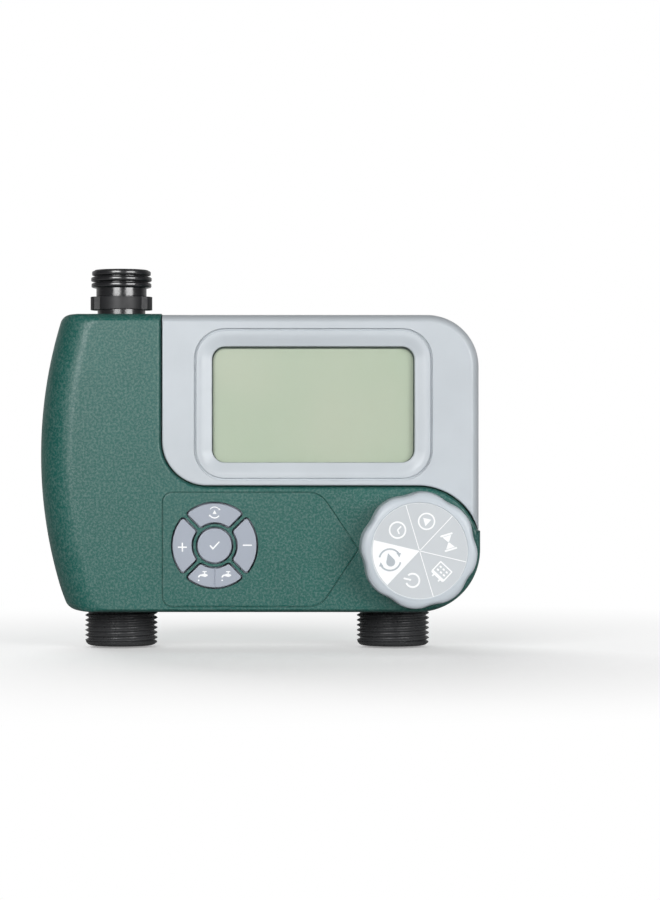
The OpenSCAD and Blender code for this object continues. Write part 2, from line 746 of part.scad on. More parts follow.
module battery_door() color(green) difference() {
    union() {
        difference() {
            box(tray_x - door_w / 2, tray_x + door_w / 2, door_in, door_out,
                hinge_z + 0.7, tray_z + door_h / 2);
            outer_knuckles(0.35);
        }
        x_cylinder(hinge_y, hinge_z, hinge_r, tray_x - knuckle[0] + 0.1,
            tray_x + knuckle[0] - 0.1);
        for (i = [0 : 3])
            box(tray_x - 9, tray_x + 9, door_out - 0.1, door_out + 0.7,
                tray_z + door_h / 2 - 3 - 2 * i, tray_z + door_h / 2 - 2 - 2 * i);
    }
    x_cylinder(hinge_y, hinge_z, pin_r + 0.05, tray_x - 25, tray_x + 25);
}

module door_seal() color(black) plate(tray_back + 0.04, door_in - 0.02)
    translate([tray_x, tray_z]) difference() {
        square([tray_w + 2.4, tray_h + 2.4], center = true);
        square([tray_w - 1.6, tray_h - 1.6], center = true);
    }

module door_hinge_pin() color(steel)
    x_cylinder(hinge_y, hinge_z, pin_r, tray_x - knuckle[1], tray_x + knuckle[1]);

module battery_leads() for (i = [0, 1]) color(i == 0 ? "red" : black) {
    x = tray_x - 29.4 + i * 58.8;
    end = 60 + i * 6;
    wire([[x, 12.9, tray_z + 3], [x, 10.5, tray_z + 3], [end, -4, tray_z + 11],
        [end, board_back + 0.1, tray_z + 11]], 0.7);
}

// ---------- water path ----------

// Coarse inlet thread, with its crests as rings
module inlet_spigot() color(black) difference() {
    union() {
        teeth = [for (i = [0 : 2]) let(z = inlet_seat + 1 + i * inlet_pitch)
            each [[inlet_root_r, z - 0.85], [inlet_thread_r, z - 0.35],
                [inlet_thread_r, z + 0.35], [inlet_root_r, z + 0.85]]];
        rotate_extrude() polygon(concat([[5, inlet_seat]], teeth,
            [[inlet_root_r - 0.4, inlet_top], [5, inlet_top]]));
        z_cylinder(0, 0, inlet_neck_r, 114, inlet_seat + 1);
        // two bayonet lugs on a collar
        z_cylinder(0, 0, inlet_neck_r + 0.25, collar_z[0], collar_z[1]);
        intersection() {
            z_cylinder(0, 0, lug_r, collar_z[0], collar_z[1]);
            for (x = [-12, 7.6])
                box(x, x + 4.4, -6.5, 6.5, collar_z[0], collar_z[1]);
        }
        z_cylinder(0, 0, 12.5, body_top - 5.4, body_top - wall - 0.3);
        z_cylinder(0, 0, 8.9, 107, 116);
    }
    z_cylinder(0, 0, inlet_bore_r, 100, inlet_top + 1);
    z_cylinder(0, 0, 8, inlet_top - 3.4, inlet_top + 1);
    z_ring(0, 0, 12, 7.7, 109, 111.2);
}

module inlet_washer() color("dimgray") z_ring(0, 0, 7.95, 5.8, inlet_top - 1.58, inlet_top - 0.2);

module inlet_filter() color("silver") difference() {
    union() {
        z_ring(0, 0, 7.9, 6.6, inlet_top - 3.38, inlet_top - 1.62);
        z_cylinder(0, 0, 7.2, inlet_top - 3.38, inlet_top - 2.8);
    }
    for (i = [-3 : 3], j = [-3 : 3])
        if (norm([i, j]) < 3.4)
            z_cylinder(i * 1.75, j * 1.75, 0.62, inlet_top - 5, inlet_top);
}

module inlet_spigot_seal() color(black) translate([0, 0, 110.1]) torus(8.78, 1.05);

// Threaded outlet, with its crests as rings
module outlet(x) {
    first = 1.6;
    teeth = [for (i = [0 : thread_turns - 1]) let(z = first + i * thread_pitch)
        each [[root_r, z - 0.55], [thread_r, z - 0.18], [thread_r, z + 0.18], [root_r, z + 0.55]]];
    top = body_bottom + wall + 1.5;
    translate([x, 0, 0]) difference() {
        union() {
            rotate_extrude() polygon(concat([[7, 0], [root_r - 0.7, 0], [root_r, 0.7]], teeth,
                [[root_r, top], [7, top]]));
            z_cylinder(0, 0, outlet_hole_r + 0.5, body_bottom + wall + 0.95, 18.5);
            z_cylinder(0, 0, 9.9, 17, outlet_end);
        }
        z_cylinder(0, 0, outlet_bore_r, -1, outlet_end + 1);
        z_ring(0, 0, 12, 8.9, outlet_end - 4, outlet_end - 2);
    }
}

module left_outlet() color(black) outlet(outlet_x[0]);
module right_outlet() color(black) outlet(outlet_x[1]);

module outlet_seals() color("dimgray") for (x = outlet_x)
    translate([x, 0, outlet_end - 3]) torus(9.92, 0.95);

module bonnet_screw_spots(x) {
    for (a = [45, 135, 225, 315])
        translate([x + bonnet_screw_ring * cos(a), 0, valve_z + bonnet_screw_ring * sin(a)]) children();
}

module valve_manifold() color([0.16, 0.16, 0.18]) difference() {
    union() {
        z_cylinder(0, 0, 10.8, tube_start, 114);
        z_cylinder(outlet_pitch, 0, tube_r, tube_start, cross_z);
        x_cylinder(0, cross_z, tube_r, 0, outlet_pitch);
        translate([outlet_pitch, 0, cross_z]) sphere(r = tube_r);
        for (x = outlet_x) {
            y_cylinder(x, valve_z, valve_r, -6, seat_y);
            intersection() {
                z_cylinder(x, 0, 9, valve_z + 7, tube_start + 1);
                box(x - 10, x + 10, -10, seat_y, valve_z + 6, tube_start + 2);
            }
            // socket for the outlet, and its neck up to the valve
            z_cylinder(x, 0, 12.9, 18.6, socket_top);
            box(x - 8, x + 8, -6, seat_y, socket_top - 1, valve_z);
            z_cylinder(x, passage_y + 0.4, passage_r + 3, 22, valve_z + 5);
        }
    }
    // inlet tube, cross tube and the ducts down to the pressure chambers
    z_cylinder(0, 0, 7.6, cross_z - 5, 104);
    z_cylinder(0, 0, 9.95, 104, 115);
    x_cylinder(0, cross_z, 6.6, 0, outlet_pitch);
    translate([outlet_pitch, 0, cross_z]) sphere(r = 6.65);
    for (x = outlet_x) {
        z_cylinder(x, 0, 4.4, valve_z + seat_r + 1, cross_z);
        difference() {
            y_cylinder(x, valve_z, chamber_r, -2, seat_y + 1);
            y_cylinder(x, valve_z, seat_r, -3, seat_y - 0.02);
        }
        // from the seat down to the outlet
        y_cylinder(x, valve_z, seat_bore_r, passage_y, seat_y + 1);
        z_cylinder(x, passage_y, passage_r, outlet_end, valve_z);
        translate([x, passage_y, valve_z]) sphere(r = passage_r + 0.1);
        z_cylinder(x, 0, 10.9, 18, outlet_end + 0.2);
        bonnet_screw_spots(x) y_cylinder(0, 0, 1.05, -3, seat_y + 1);
    }
}

module diaphragm(x) {
    difference() {
        union() {
            y_cylinder(x, valve_z, valve_r - 0.2, seat_y + 0.02, bonnet_y - 0.02);
            y_ring(x, valve_z, 10.2, 8.9, seat_y - 0.8, seat_y + 0.5);
        }
        bonnet_screw_spots(x) y_cylinder(0, 0, 1.3, 0, 10);
    }
}

// Stiff disc on the diaphragm that closes the seat
module poppet(x) {
    union() {
        y_cylinder(x, valve_z, seat_r + 0.4, bonnet_y, bonnet_y + 1.4);
        y_cylinder(x, valve_z, 3.6, bonnet_y + 1, plunger_y - 0.02);
    }
}

module bonnet(x) {
    difference() {
        union() {
            y_cylinder(x, valve_z, valve_r, bonnet_y, 11);
            y_cylinder(x, valve_z, 13, 10, bonnet_top);
            y_cylinder(x, valve_z, guide_r, bonnet_top - 1, guide_end);
        }
        y_cylinder(x, valve_z, 11.2, bonnet_y - 1, 12.8);
        y_cylinder(x, valve_z, plunger_r + 0.06, 12, guide_end - 1);
        bonnet_screw_spots(x) y_cylinder(0, 0, 1.25, 0, 30);
    }
}

module plunger(x) {
    union() {
        y_cylinder(x, valve_z, plunger_r, plunger_y, 20);
        y_cylinder(x, valve_z, 1.8, 19, 24.4);
    }
}

module plunger_spring(x) {
    translate([x, 20.05, valve_z]) rotate([-90, 0, 0]) coil(2.75, 2.75, 0.4, 5, 6.85);
}

module solenoid(x) {
    union() {
        y_ring(x, valve_z, 8.9, guide_r + 0.1, bonnet_top + 1, 27.8);
        difference() {
            box(x - 10.6, x + 10.6, bonnet_top + 0.05, 28.8, valve_z - 10, valve_z + 10);
            box(x - 11, x + 11, bonnet_top + 1.2, 27.6, valve_z - 9, valve_z + 9);
            y_cylinder(x, valve_z, guide_r + 0.1, 10, 30);
        }
    }
}

module left_diaphragm() color(black) diaphragm(outlet_x[0]);
module left_poppet() color("ivory") poppet(outlet_x[0]);
module left_bonnet() color([0.2, 0.2, 0.22]) bonnet(outlet_x[0]);
module left_plunger() color("silver") plunger(outlet_x[0]);
module left_plunger_spring() color(steel) plunger_spring(outlet_x[0]);
module left_solenoid() color("orangered") solenoid(outlet_x[0]);
module right_diaphragm() color(black) diaphragm(outlet_x[1]);
module right_poppet() color("ivory") poppet(outlet_x[1]);
module right_bonnet() color([0.2, 0.2, 0.22]) bonnet(outlet_x[1]);
module right_plunger() color("silver") plunger(outlet_x[1]);
module right_plunger_spring() color(steel) plunger_spring(outlet_x[1]);
module right_solenoid() color("orangered") solenoid(outlet_x[1]);

module bonnet_screws() color(steel) for (x = outlet_x) bonnet_screw_spots(x) {
    y_cylinder(0, 0, 1, -2.5, 11.1);
    y_cylinder(0, 0, 1.9, 11.02, 12.6);
}

// Two leads from each coil, past the cross tube and up to the circuit board
module solenoid_leads() for (i = [0, 1], s = [-1, 1]) color(s < 0 ? "red" : black) {
    x = outlet_x[i];
    side = x + (i == 0 ? 16 : -16) + 3 * s;
    end = 30 + 20 * i + 3 * s;
    wire([[x + 4 * s, 24, valve_z + 10.1], [x + 4 * s, 24, valve_z + 12], [side, 19, tube_start],
        [side, 11, cross_z + 4], [end, 2, cross_z + 15], [end, board_back + 0.1, cross_z + 15]],
        0.6);
}

// ---------- assembly ----------

front_shell();
rear_shell();
housing_gasket();
housing_screws();
display_cover();
cover_screws();
display_window();
window_seal();
lcd_panel();
lcd_holder();
lcd_contact_strips();
circuit_board();
board_screws();
controller_chip();
board_capacitors();
buzzer();
rotary_switch();
switch_shaft();
shaft_seal();
selector_knob();
knob_dial();
knob_screw();
manual_key();
plus_key();
minus_key();
ok_key();
outlet_rocker_key();
keypad_mat();
battery_tray();
batteries();
contact_springs();
contact_plates();
battery_door();
door_seal();
door_hinge_pin();
battery_leads();
inlet_spigot();
inlet_washer();
inlet_filter();
inlet_spigot_seal();
valve_manifold();
left_outlet();
right_outlet();
outlet_seals();
left_diaphragm();
left_poppet();
left_bonnet();
left_plunger();
left_plunger_spring();
left_solenoid();
right_diaphragm();
right_poppet();
right_bonnet();
right_plunger();
right_plunger_spring();
right_solenoid();
bonnet_screws();
solenoid_leads();
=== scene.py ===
import json
from math import acos, asin, atan2, cos, degrees, hypot, pi, radians, sin, sqrt, tan, tau

import bmesh
import bpy
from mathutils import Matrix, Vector


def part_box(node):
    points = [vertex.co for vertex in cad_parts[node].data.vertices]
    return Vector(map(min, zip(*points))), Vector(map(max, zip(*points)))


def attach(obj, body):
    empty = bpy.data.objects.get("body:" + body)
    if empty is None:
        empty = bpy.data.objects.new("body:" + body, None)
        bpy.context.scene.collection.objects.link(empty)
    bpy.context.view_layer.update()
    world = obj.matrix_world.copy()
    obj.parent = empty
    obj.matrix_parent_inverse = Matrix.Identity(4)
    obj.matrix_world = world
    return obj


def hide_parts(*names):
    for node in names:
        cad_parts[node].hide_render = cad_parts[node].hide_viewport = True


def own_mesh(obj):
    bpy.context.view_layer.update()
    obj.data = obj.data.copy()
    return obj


# Looks of the two-outlet watering timer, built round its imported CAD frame.
# Shapes are worked out in millimetres in the CAD frame: X right, Z up, front towards -Y.

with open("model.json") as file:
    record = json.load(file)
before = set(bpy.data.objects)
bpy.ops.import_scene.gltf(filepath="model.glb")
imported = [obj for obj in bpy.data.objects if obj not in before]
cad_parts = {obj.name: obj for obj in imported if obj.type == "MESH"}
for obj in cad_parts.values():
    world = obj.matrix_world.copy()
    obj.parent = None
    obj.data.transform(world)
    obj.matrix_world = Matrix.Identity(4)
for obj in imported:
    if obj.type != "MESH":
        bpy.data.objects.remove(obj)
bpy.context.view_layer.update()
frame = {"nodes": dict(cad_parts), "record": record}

MM = 0.001


# ---------- places, from the frame ----------


def corners(node):
    """Lowest and highest corner of a CAD node in millimetres."""
    low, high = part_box(node)
    return low / MM, high / MM


def centre(node):
    low, high = corners(node)
    return (low + high) / 2


shell_low, shell_high = corners("front_shell")
SIDE_LEFT, SIDE_RIGHT = shell_low.x, shell_high.x
BOTTOM, TOP = shell_low.z, shell_high.z
FACE = shell_low.y
DEPTH = 60
REAR = FACE + DEPTH
PARTING = 0.4  # half the gap between the shells, which the gasket fills
WALL = 2.5
BEHIND = FACE + 8  # where cutters through the front wall end
LOBE = LOBE_X, LOBE_Z = centre("knob_dial").x, centre("knob_dial").z
LOBE_R = SIDE_RIGHT - LOBE_X
CORNER_R, SMALL_R = 19, 4  # corners at the top right and at the left
BULGE_R, BULGE_Z = 165, 70  # the left side, part of a large circle
# Rounded edges as (width, depth, power); rounding() says what they mean.
LEFT_EDGE = (13, 14, 2)
EDGE = (2.8, 5.2, 1.6)
LOW_EDGE = (1.2, 2.6, 1.4)  # underside of the front shell
REAR_LEFT_EDGE = (9, 11, 2)
REAR_EDGE = (4, 5, 2)
JOINT_EDGE = (0.85, 2.2, 1.3)  # front shell where it meets the cover
KEY_EDGE = (0.12, 0.12, 2)  # key openings

cover_low, cover_high = corners("display_cover")
COVER_LEFT = cover_low.x
COVER_RISE = 0.4  # the cover ends this much above the rim round the knob
COVER_BOTTOM = BOTTOM + 2 * LOBE_R + COVER_RISE
COVER_TAIL = cover_low.z  # where the cover ends at the right
COVER_CORNER = 16  # radius at the lower left
COVER_SINK = 0.4  # the cover lies this far below the green face
COVER_FACE = FACE + COVER_SINK
COVER_BACK = cover_high.y
COVER_PLATE = 3.6  # thickness behind its face
LIP = 0.7  # rounding of the cover's edge
GAP = 0.15  # clearance between parts that fit into each other
JOINT = 0.35  # width of the dark joint between the cover and the front shell

glass_low, glass_high = corners("display_window")
WINDOW_X, WINDOW_Z = centre("display_window").x, centre("display_window").z
PANE_W, PANE_H = 3.8, 2.8  # by how much the pane is wider and higher than its opening
WINDOW_W = glass_high.x - glass_low.x - PANE_W
WINDOW_H = glass_high.z - glass_low.z - PANE_H
WINDOW_R = 4.6
DISH_W = 6  # width of the dished frame round the window

PAD = PAD_X, PAD_Z = centre("ok_key").x, centre("ok_key").z
PAD_R, RING_IN, OK_R = 14.98, 8.23, 6.12  # ring keys outside and inside, middle key
WEB = 2.2  # between two ring keys, with their gaps
KEY_REACH = 11.7  # from the pad's centre to the middle of a ring key
KEY_TOP, KEY_FOOT = corners("ok_key")[0].y, corners("ok_key")[1].y
KEY_BACK = KEY_FOOT - 2  # of the keys' flanges
KEY_GAP, KEY_ROUND = 0.6, 0.26
ROCKER_FOOT = (4.3, -10.9)  # a foot of the bottom key, from the pad's centre
MAT_BACK = corners("keypad_mat")[1].y
MAT_FACE = MAT_BACK - 1.28

KNOB_R, SCALLOP, SCALLOPS = 21.0, 0.95, 8  # radius, depth and number of the scallops
KNOB_TOP, KNOB_BASE = corners("selector_knob")[0].y, corners("selector_knob")[1].y
DIAL_R = (corners("knob_dial")[1].x - corners("knob_dial")[0].x) / 2
SHAFT_R, SHAFT_TOP = 3, corners("switch_shaft")[0].y

HINGE = centre("door_hinge_pin")
BORE_R, BARREL_R = 0.95, 1.9  # barrel of the door's hinge
BARREL = 24.2  # half its length

OUTLET_X = [centre("left_outlet").x, centre("right_outlet").x]
THREAD_R, ROOT_R, PITCH = 13.22, 12.06, 1.814  # outlet thread, G 3/4
OUTLET_TOP = corners("left_outlet")[1].z
INLET_LOW, INLET_TOP = corners("inlet_spigot")[0].z, corners("inlet_spigot")[1].z
INLET_R, INLET_ROOT, INLET_PITCH = 11.1, 9.7, 2.2  # crests of the inlet
NECK_R = 9.2


# ---------- outlines ----------


def arc(cx, cz, ax, az, start, end, count):
    points = []
    for i in range(count + 1):
        a = radians(start + (end - start) * i / count)
        points.append((cx + ax * cos(a), cz + az * sin(a)))
    return points


def spin(point, angle):
    a = radians(angle)
    x, z = point
    return (x * cos(a) - z * sin(a), x * sin(a) + z * cos(a))


def shift(point, dx, dz):
    return (point[0] + dx, point[1] + dz)


def quarter(steps):
    """Shares of (inset, depth) along a rounded edge, from the face to the side."""
    angles = [pi / 2 * i / steps for i in range(steps + 1)]
    return [(1 - sin(a), 1 - cos(a)) for a in angles]


def smooth(t):
    t = min(1.0, max(0.0, t))
    return t * t * (3 - 2 * t)


def lifted(point):
    """Raises the underside a little towards the bottom left corner."""
    x, z = point
    share = smooth((-9 - x) / 16) * smooth((BOTTOM + 9 - z) / 9)
    return (x, z + 1.3 * share)


def outline(left, right, top, bottom):
    """Front outline of the housing with its four sides moved inwards."""
    high, low = TOP - top, BOTTOM + bottom
    bulge_x = BULGE_R + SIDE_LEFT + left
    reach = BULGE_R - SMALL_R
    top_a = degrees(asin((high - SMALL_R - BULGE_Z) / reach))
    low_a = degrees(asin((BULGE_Z - low - SMALL_R) / reach))
    top_x = bulge_x - reach * cos(radians(top_a))
    low_x = bulge_x - reach * cos(radians(low_a))
    corner = (SIDE_RIGHT - CORNER_R, TOP - CORNER_R)
    side = arc(bulge_x, BULGE_Z, BULGE_R, BULGE_R, 180 - top_a, 180 + low_a, 40)
    points = arc(*LOBE, LOBE_R - bottom, LOBE_R - bottom, -90, 0, 36)
    points += [(SIDE_RIGHT - bottom, COVER_TAIL - 0.3), (SIDE_RIGHT - right, COVER_TAIL + 0.3)]
    points += arc(*corner, CORNER_R - right, CORNER_R - top, 0, 90, 36)
    points += arc(top_x, high - SMALL_R, SMALL_R, SMALL_R, 90, 180 - top_a, 10)
    points += side[1:-1]
    points += arc(low_x, low + SMALL_R, SMALL_R, SMALL_R, 180 + low_a, 270, 10)
    return [lifted(p) for p in points]


def cover_outline(inset):
    """Outline of the display cover's area, running out past the top and right side."""
    x0, z0 = COVER_LEFT + inset, COVER_BOTTOM + inset
    r, lobe = COVER_CORNER - inset, LOBE_R + COVER_RISE + inset
    tail = degrees(asin((COVER_TAIL + inset - LOBE_Z) / lobe))
    points = [(x0, TOP + 1)]
    points += arc(x0 + r, z0 + r, r, r, 180, 270, 32)
    points += arc(*LOBE, lobe, lobe, 90, tail, 32)
    points += [(SIDE_RIGHT + 1, COVER_TAIL + inset), (SIDE_RIGHT + 1, TOP + 1)]
    return points


def rounded_polygon(points, radii, inset, count):
    """Convex polygon (anticlockwise) moved inwards by inset, with rounded corners."""
    size = len(points)
    lines = []
    for i in range(size):
        a, b = Vector(points[i]), Vector(points[(i + 1) % size])
        along = (b - a).normalized()
        inward = Vector((-along.y, along.x))
        lines.append((a + inward * inset, along))
    result = []
    for i in range(size):
        p, d = lines[i - 1]
        q, e = lines[i]
        cross = d.x * e.y - d.y * e.x
        corner = p + d * (((q - p).x * e.y - (q - p).y * e.x) / cross)
        r = max(radii[i] - inset, 0.05)
        turn = acos(max(-1.0, min(1.0, d.dot(e))))
        start = corner - d * (r * tan(turn / 2))
        middle = start + Vector((-d.y, d.x)) * r
        for k in range(count + 1):
            way = spin((d.y, -d.x), degrees(turn * k / count))
            result.append(tuple(middle + Vector(way) * r))
    return result


def rounded_rect(cx, cz, width, height, r, count=10):
    w, h = width / 2, height / 2
    box = [(cx - w, cz - h), (cx + w, cz - h), (cx + w, cz + h), (cx - w, cz + h)]
    return rounded_polygon(box, [r] * 4, 0, count)


def panel_outline(inset):
    """Arrow-shaped panel round the keypad, pointing at the knob."""
    edge, turn, tip = 1.9, 72.5, 86.4
    x0, z0, z1 = COVER_LEFT, BOTTOM + edge, BOTTOM + 2 * LOBE_R - edge
    points = [(x0, z0), (turn, z0), (tip, LOBE_Z), (turn, z1), (x0, z1)]
    return rounded_polygon(points, [3.7, 8, 0.6, 8, 3.7], inset, 10)


def ring_key_outline(grow, angle):
    """Ring key that faces up, grown by grow and turned by angle, round the pad's centre."""
    outer, inner = PAD_R + grow, RING_IN - grow
    half, r = WEB / 2 - grow, 0.75 + grow
    far = sqrt((outer - r) ** 2 - (half + r) ** 2)
    near = sqrt((inner + r) ** 2 - (half + r) ** 2)
    far_a = degrees(atan2(half + r, far))
    near_a = degrees(atan2(half + r, near))
    side = arc(far, half + r, r, r, far_a, -90, 6)
    side += arc(near, half + r, r, r, -90, near_a - 180, 6)
    points = [spin(p, 45) for p in reversed(side)]
    points += arc(0, 0, outer, outer, 45 + far_a, 135 - far_a, 24)[1:-1]
    points += [spin((x, -z), 135) for x, z in side]
    points += arc(0, 0, inner, inner, 135 - near_a, 45 + near_a, 16)[1:-1]
    return [shift(spin(p, angle), *PAD) for p in points]


# ---------- mesh code ----------


def linked(name, data):
    """New object of the scene."""
    obj = bpy.data.objects.new(name, data)
    bpy.context.scene.collection.objects.link(obj)
    return obj


def skin(rings, caps=True):
    """Solid through rings of points in millimetres, with end faces on the outer rings.

    Without caps the rings go once round, and the last one lies on the first.
    """
    count = len(rings[0])
    points = [(x * MM, y * MM, z * MM) for ring in rings for x, y, z in ring]
    last = len(points) - count
    faces = []
    for a in range(0, last, count):
        for j in range(count):
            k = (j + 1) % count
            faces.append((a + j, a + k, a + count + k, a + count + j))
    if caps:
        faces += [tuple(range(count)), tuple(range(last, last + count))]
    mesh = bpy.data.meshes.new("tool")
    mesh.from_pydata(points, [], faces)
    net = bmesh.new()
    net.from_mesh(mesh)
    bmesh.ops.remove_doubles(net, verts=net.verts, dist=1e-7)
    bmesh.ops.recalc_face_normals(net, faces=net.faces)
    net.to_mesh(mesh)
    net.free()
    return linked("tool", mesh)


def loft(layers):
    """Closed solid through (y, outline) layers from front to back."""
    return skin([[(x, y, z) for x, z in ring] for y, ring in layers])


def prism(ring, y0, y1):
    return loft([(y0, ring), (y1, ring)])


def circle(x, z, r, count=64):
    return arc(x, z, r, r, 0, 360 - 360 / count, count - 1)


def y_cylinder(x, z, r, y0, y1, count=64):
    return prism(circle(x, z, r, count), y0, y1)


def turned(profile, u, v, count, axis="Z"):
    """Solid of revolution from a closed profile of (radius, height) points.

    u and v place its axis: x and y for an axis along Z, y and z for X, x and z for Y.
    """
    rings = []
    for j in range(count):
        a = tau * j / count
        ring = []
        for r, h in profile:
            du, dv = r * cos(a), r * sin(a)
            spots = {"X": (h, u + du, v + dv), "Y": (u + du, h, v - dv), "Z": (u + du, v + dv, h)}
            ring.append(spots[axis])
        rings.append(ring)
    return skin(rings + rings[:1], caps=False)


def rod(r, low, high, u, v, axis="Z", count=96, bevel=0.0, hole=0.001):
    """Cylinder, bevelled at both ends or bored through on request."""
    profile = [(hole, low), (r - bevel, low), (r, low + bevel), (r, high - bevel),
               (r - bevel, high), (hole, high)]
    return turned(profile if bevel else [profile[i] for i in (0, 1, 4, 5)], u, v, count, axis)


def hinge_rod(r, low, high, bevel=0.0, hole=0.001):
    """Rod on the door's hinge line, from low to high of its middle."""
    return rod(r, HINGE.x + low, HINGE.x + high, HINGE.y, HINGE.z, "X", 48, bevel, hole)


def box(x0, x1, y0, y1, z0, z1):
    return prism([(x0, z0), (x1, z0), (x1, z1), (x0, z1)], y0, y1)


def merged(objects):
    """One object from several."""
    net = bmesh.new()
    for obj in objects:
        net.from_mesh(obj.data)
        bpy.data.objects.remove(obj)
    mesh = bpy.data.meshes.new("tool")
    net.to_mesh(mesh)
    net.free()
    return linked("tool", mesh)


def carve(target, *tools, operation="DIFFERENCE"):
    """Applies a boolean with each tool in turn and removes the tools."""
    for tool in tools:
        apply_boolean(target, tool, operation)


def join(target, *tools):
    carve(target, *tools, operation="UNION")


def apply_boolean(target, tool, operation):
    modifier = target.modifiers.new("carve", "BOOLEAN")
    modifier.operation = operation
    modifier.solver = "MANIFOLD"
    modifier.object = tool
    bpy.context.view_layer.update()
    evaluated = target.evaluated_get(bpy.context.evaluated_depsgraph_get())
    mesh = bpy.data.meshes.new_from_object(evaluated)
    target.modifiers.clear()
    target.data = mesh
    bpy.data.objects.remove(tool)


def tidy(obj, sharp=34):
    """Merges stray points, smooths the shading and keeps the edges over the sharp angle."""
    net = bmesh.new()
    net.from_mesh(obj.data)
    bmesh.ops.remove_doubles(net, verts=net.verts, dist=2e-6)
    bmesh.ops.dissolve_degenerate(net, edges=net.edges, dist=1e-6)
    loose = [v for v in net.verts if not v.link_faces]
    bmesh.ops.delete(net, geom=loose, context="VERTS")
    bmesh.ops.recalc_face_normals(net, faces=net.faces)
    for face in net.faces:
        face.smooth = True
    limit = radians(sharp)
    for edge in net.edges:
        edge.smooth = len(edge.link_faces) == 2 and edge.calc_face_angle(0) < limit
    net.to_mesh(obj.data)
    net.free()


def place(obj, name, slot, stands_for=(), paint=None, body="housing", sharp=34, weighted=True):
    """Finishes a piece: name, shading, material, body and the CAD nodes it stands for."""
    obj.name = name
    obj.data.name = name
    tidy(obj, sharp)
    obj.data.materials.clear()
    obj.data.materials.append(paint or PAINTS[slot])
    if weighted:
        modifier = obj.modifiers.new("even_normals", "WEIGHTED_NORMAL")
        modifier.keep_sharp = True
        modifier.weight = 90
    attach(obj, body)
    if stands_for:
        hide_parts(*stands_for)


# ---------- materials ----------


class Net:
    """Node network of a new material, or of the owner that is given."""

    def __init__(self, name, owner=None):
        self.owner = owner or bpy.data.materials.new(name)
        self.owner.use_nodes = True
        self.tree = self.owner.node_tree
        self.tree.nodes.clear()

    def add(self, kind, inputs=None, output=0, **settings):
        """Adds a node and returns one of its outputs."""
        node = self.tree.nodes.new("ShaderNode" + kind)
        for key, value in settings.items():
            setattr(node, key, value)
        for key, value in (inputs or {}).items():
            socket = node.inputs[key]
            if isinstance(value, bpy.types.NodeSocket):
                self.tree.links.new(value, socket)
            else:
                socket.default_value = value
        return node.outputs[output]

    def noise(self, spot, grain, detail=2.0, roughness=0.5):
        """Noise whose grain is given in millimetres."""
        values = {"Vector": spot, "Scale": 1 / (grain * MM), "Detail": detail,
                  "Roughness": roughness}
        return self.add("TexNoise", values, "Fac")

    def span(self, value, low, high, start=0.0, end=1.0):
        """Maps start..end of value onto low..high."""
        values = {"Value": value, "From Min": start, "From Max": end,
                  "To Min": low, "To Max": high}
        return self.add("MapRange", values)

    def mix(self, share, a, b):
        """Colour a where share is 0 and b where it is 1."""
        return self.add("Mix", {0: share, 6: a, 7: b}, 2, data_type="RGBA")

    def scaled(self, value, factor):
        return self.add("Math", {0: value, 1: factor}, operation="MULTIPLY")

    def bump(self, height, distance, soft=None):
        """Normal of a relief of so many millimetres, on top of a softened normal."""
        normal = {"Normal": soft} if soft else {}
        return self.add("Bump", {"Height": height, "Distance": distance * MM, **normal})

    def here(self):
        return self.add("TexCoord", output="Object")

    def principled(self, values):
        return self.surface(self.add("BsdfPrincipled", values))

    def surface(self, shader, kind="Material"):
        output = self.tree.nodes.new("ShaderNodeOutput" + kind)
        self.tree.links.new(shader, output.inputs["Surface"])
        return self.owner


def rgba(colour, factor=1.0):
    return tuple(min(1.0, c * factor) for c in colour) + (1.0,)


def edge_mask(net, radius):
    """1 on edges and corners, 0 on flat faces, and the softened normal."""
    soft = net.add("Bevel", {"Radius": radius * MM}, samples=4)
    flat = net.add("NewGeometry", output="Normal")
    facing = net.add("VectorMath", {0: soft, 1: flat}, "Value", operation="DOT_PRODUCT")
    return net.span(facing, 0.0, 1.0, 0.995, 0.8), soft


def moulded(name, colour, rough, grain, relief, shade, wear_and_highlight, edge=0.25, coat=0.0, ior=1.5,
            speck=0.0, sheen=0.0):
    """Moulded plastic, rubber or paint: grain, drifting colour, lighter edges that are partly wear
    and partly a painted highlight.
    """
    net = Net(name)
    spot = net.here()
    fine = net.noise(spot, grain, 3.0, 0.6)
    broad = net.noise(spot, 18, 3.0)
    smudge = net.noise(spot, 5, 4.0, 0.65)
    mask, soft = edge_mask(net, edge)
    body = net.mix(net.span(broad, 0, 1, 0.3, 0.7), rgba(colour, 1 - shade),
                   rgba(colour, 1 + shade))
    if speck:
        blotch = net.noise(spot, 0.85, 3.0, 0.75)
        dots = net.span(blotch, 0.0, speck, 0.44, 0.64)
        body = net.mix(dots, body, rgba([c + 0.25 for c in colour]))
    # Lighter colour on edges and corners: wear, and where the share is high a painted highlight.
    body = net.mix(net.scaled(mask, wear_and_highlight), body, rgba([c * 1.35 + 0.05 for c in colour]))
    gloss = net.span(smudge, rough - 0.05, rough + 0.07, 0.3, 0.7)
    return net.principled({"Base Color": body, "Roughness": gloss,
                           "Normal": net.bump(fine, relief, soft), "Coat Weight": coat,
                           "Coat Roughness": 0.25, "IOR": ior, "Sheen Weight": sheen,
                           "Sheen Roughness": 0.5})


def drawn_metal(name, colour, rough, stretch=(1, 1, 14)):
    """Turned, drawn or plated metal with fine lines along its stretch."""
    net = Net(name)
    spot = net.here()
    lines = net.add("Mapping", {"Vector": spot, "Scale": stretch})
    streak = net.noise(lines, 2.4, 4.0, 0.7)
    stain = net.noise(spot, 3, 3.0)
    mask, soft = edge_mask(net, 0.12)
    body = net.mix(net.span(stain, 0, 1, 0.35, 0.65), rgba(colour, 0.86), rgba(colour, 1.06))
    body = net.mix(mask, body, rgba(colour, 1.2))
    gloss = net.span(streak, rough - 0.08, rough + 0.12, 0.3, 0.7)
    return net.principled({"Base Color": body, "Roughness": gloss, "Metallic": 1.0,
                           "Normal": net.bump(streak, 0.004, soft)})


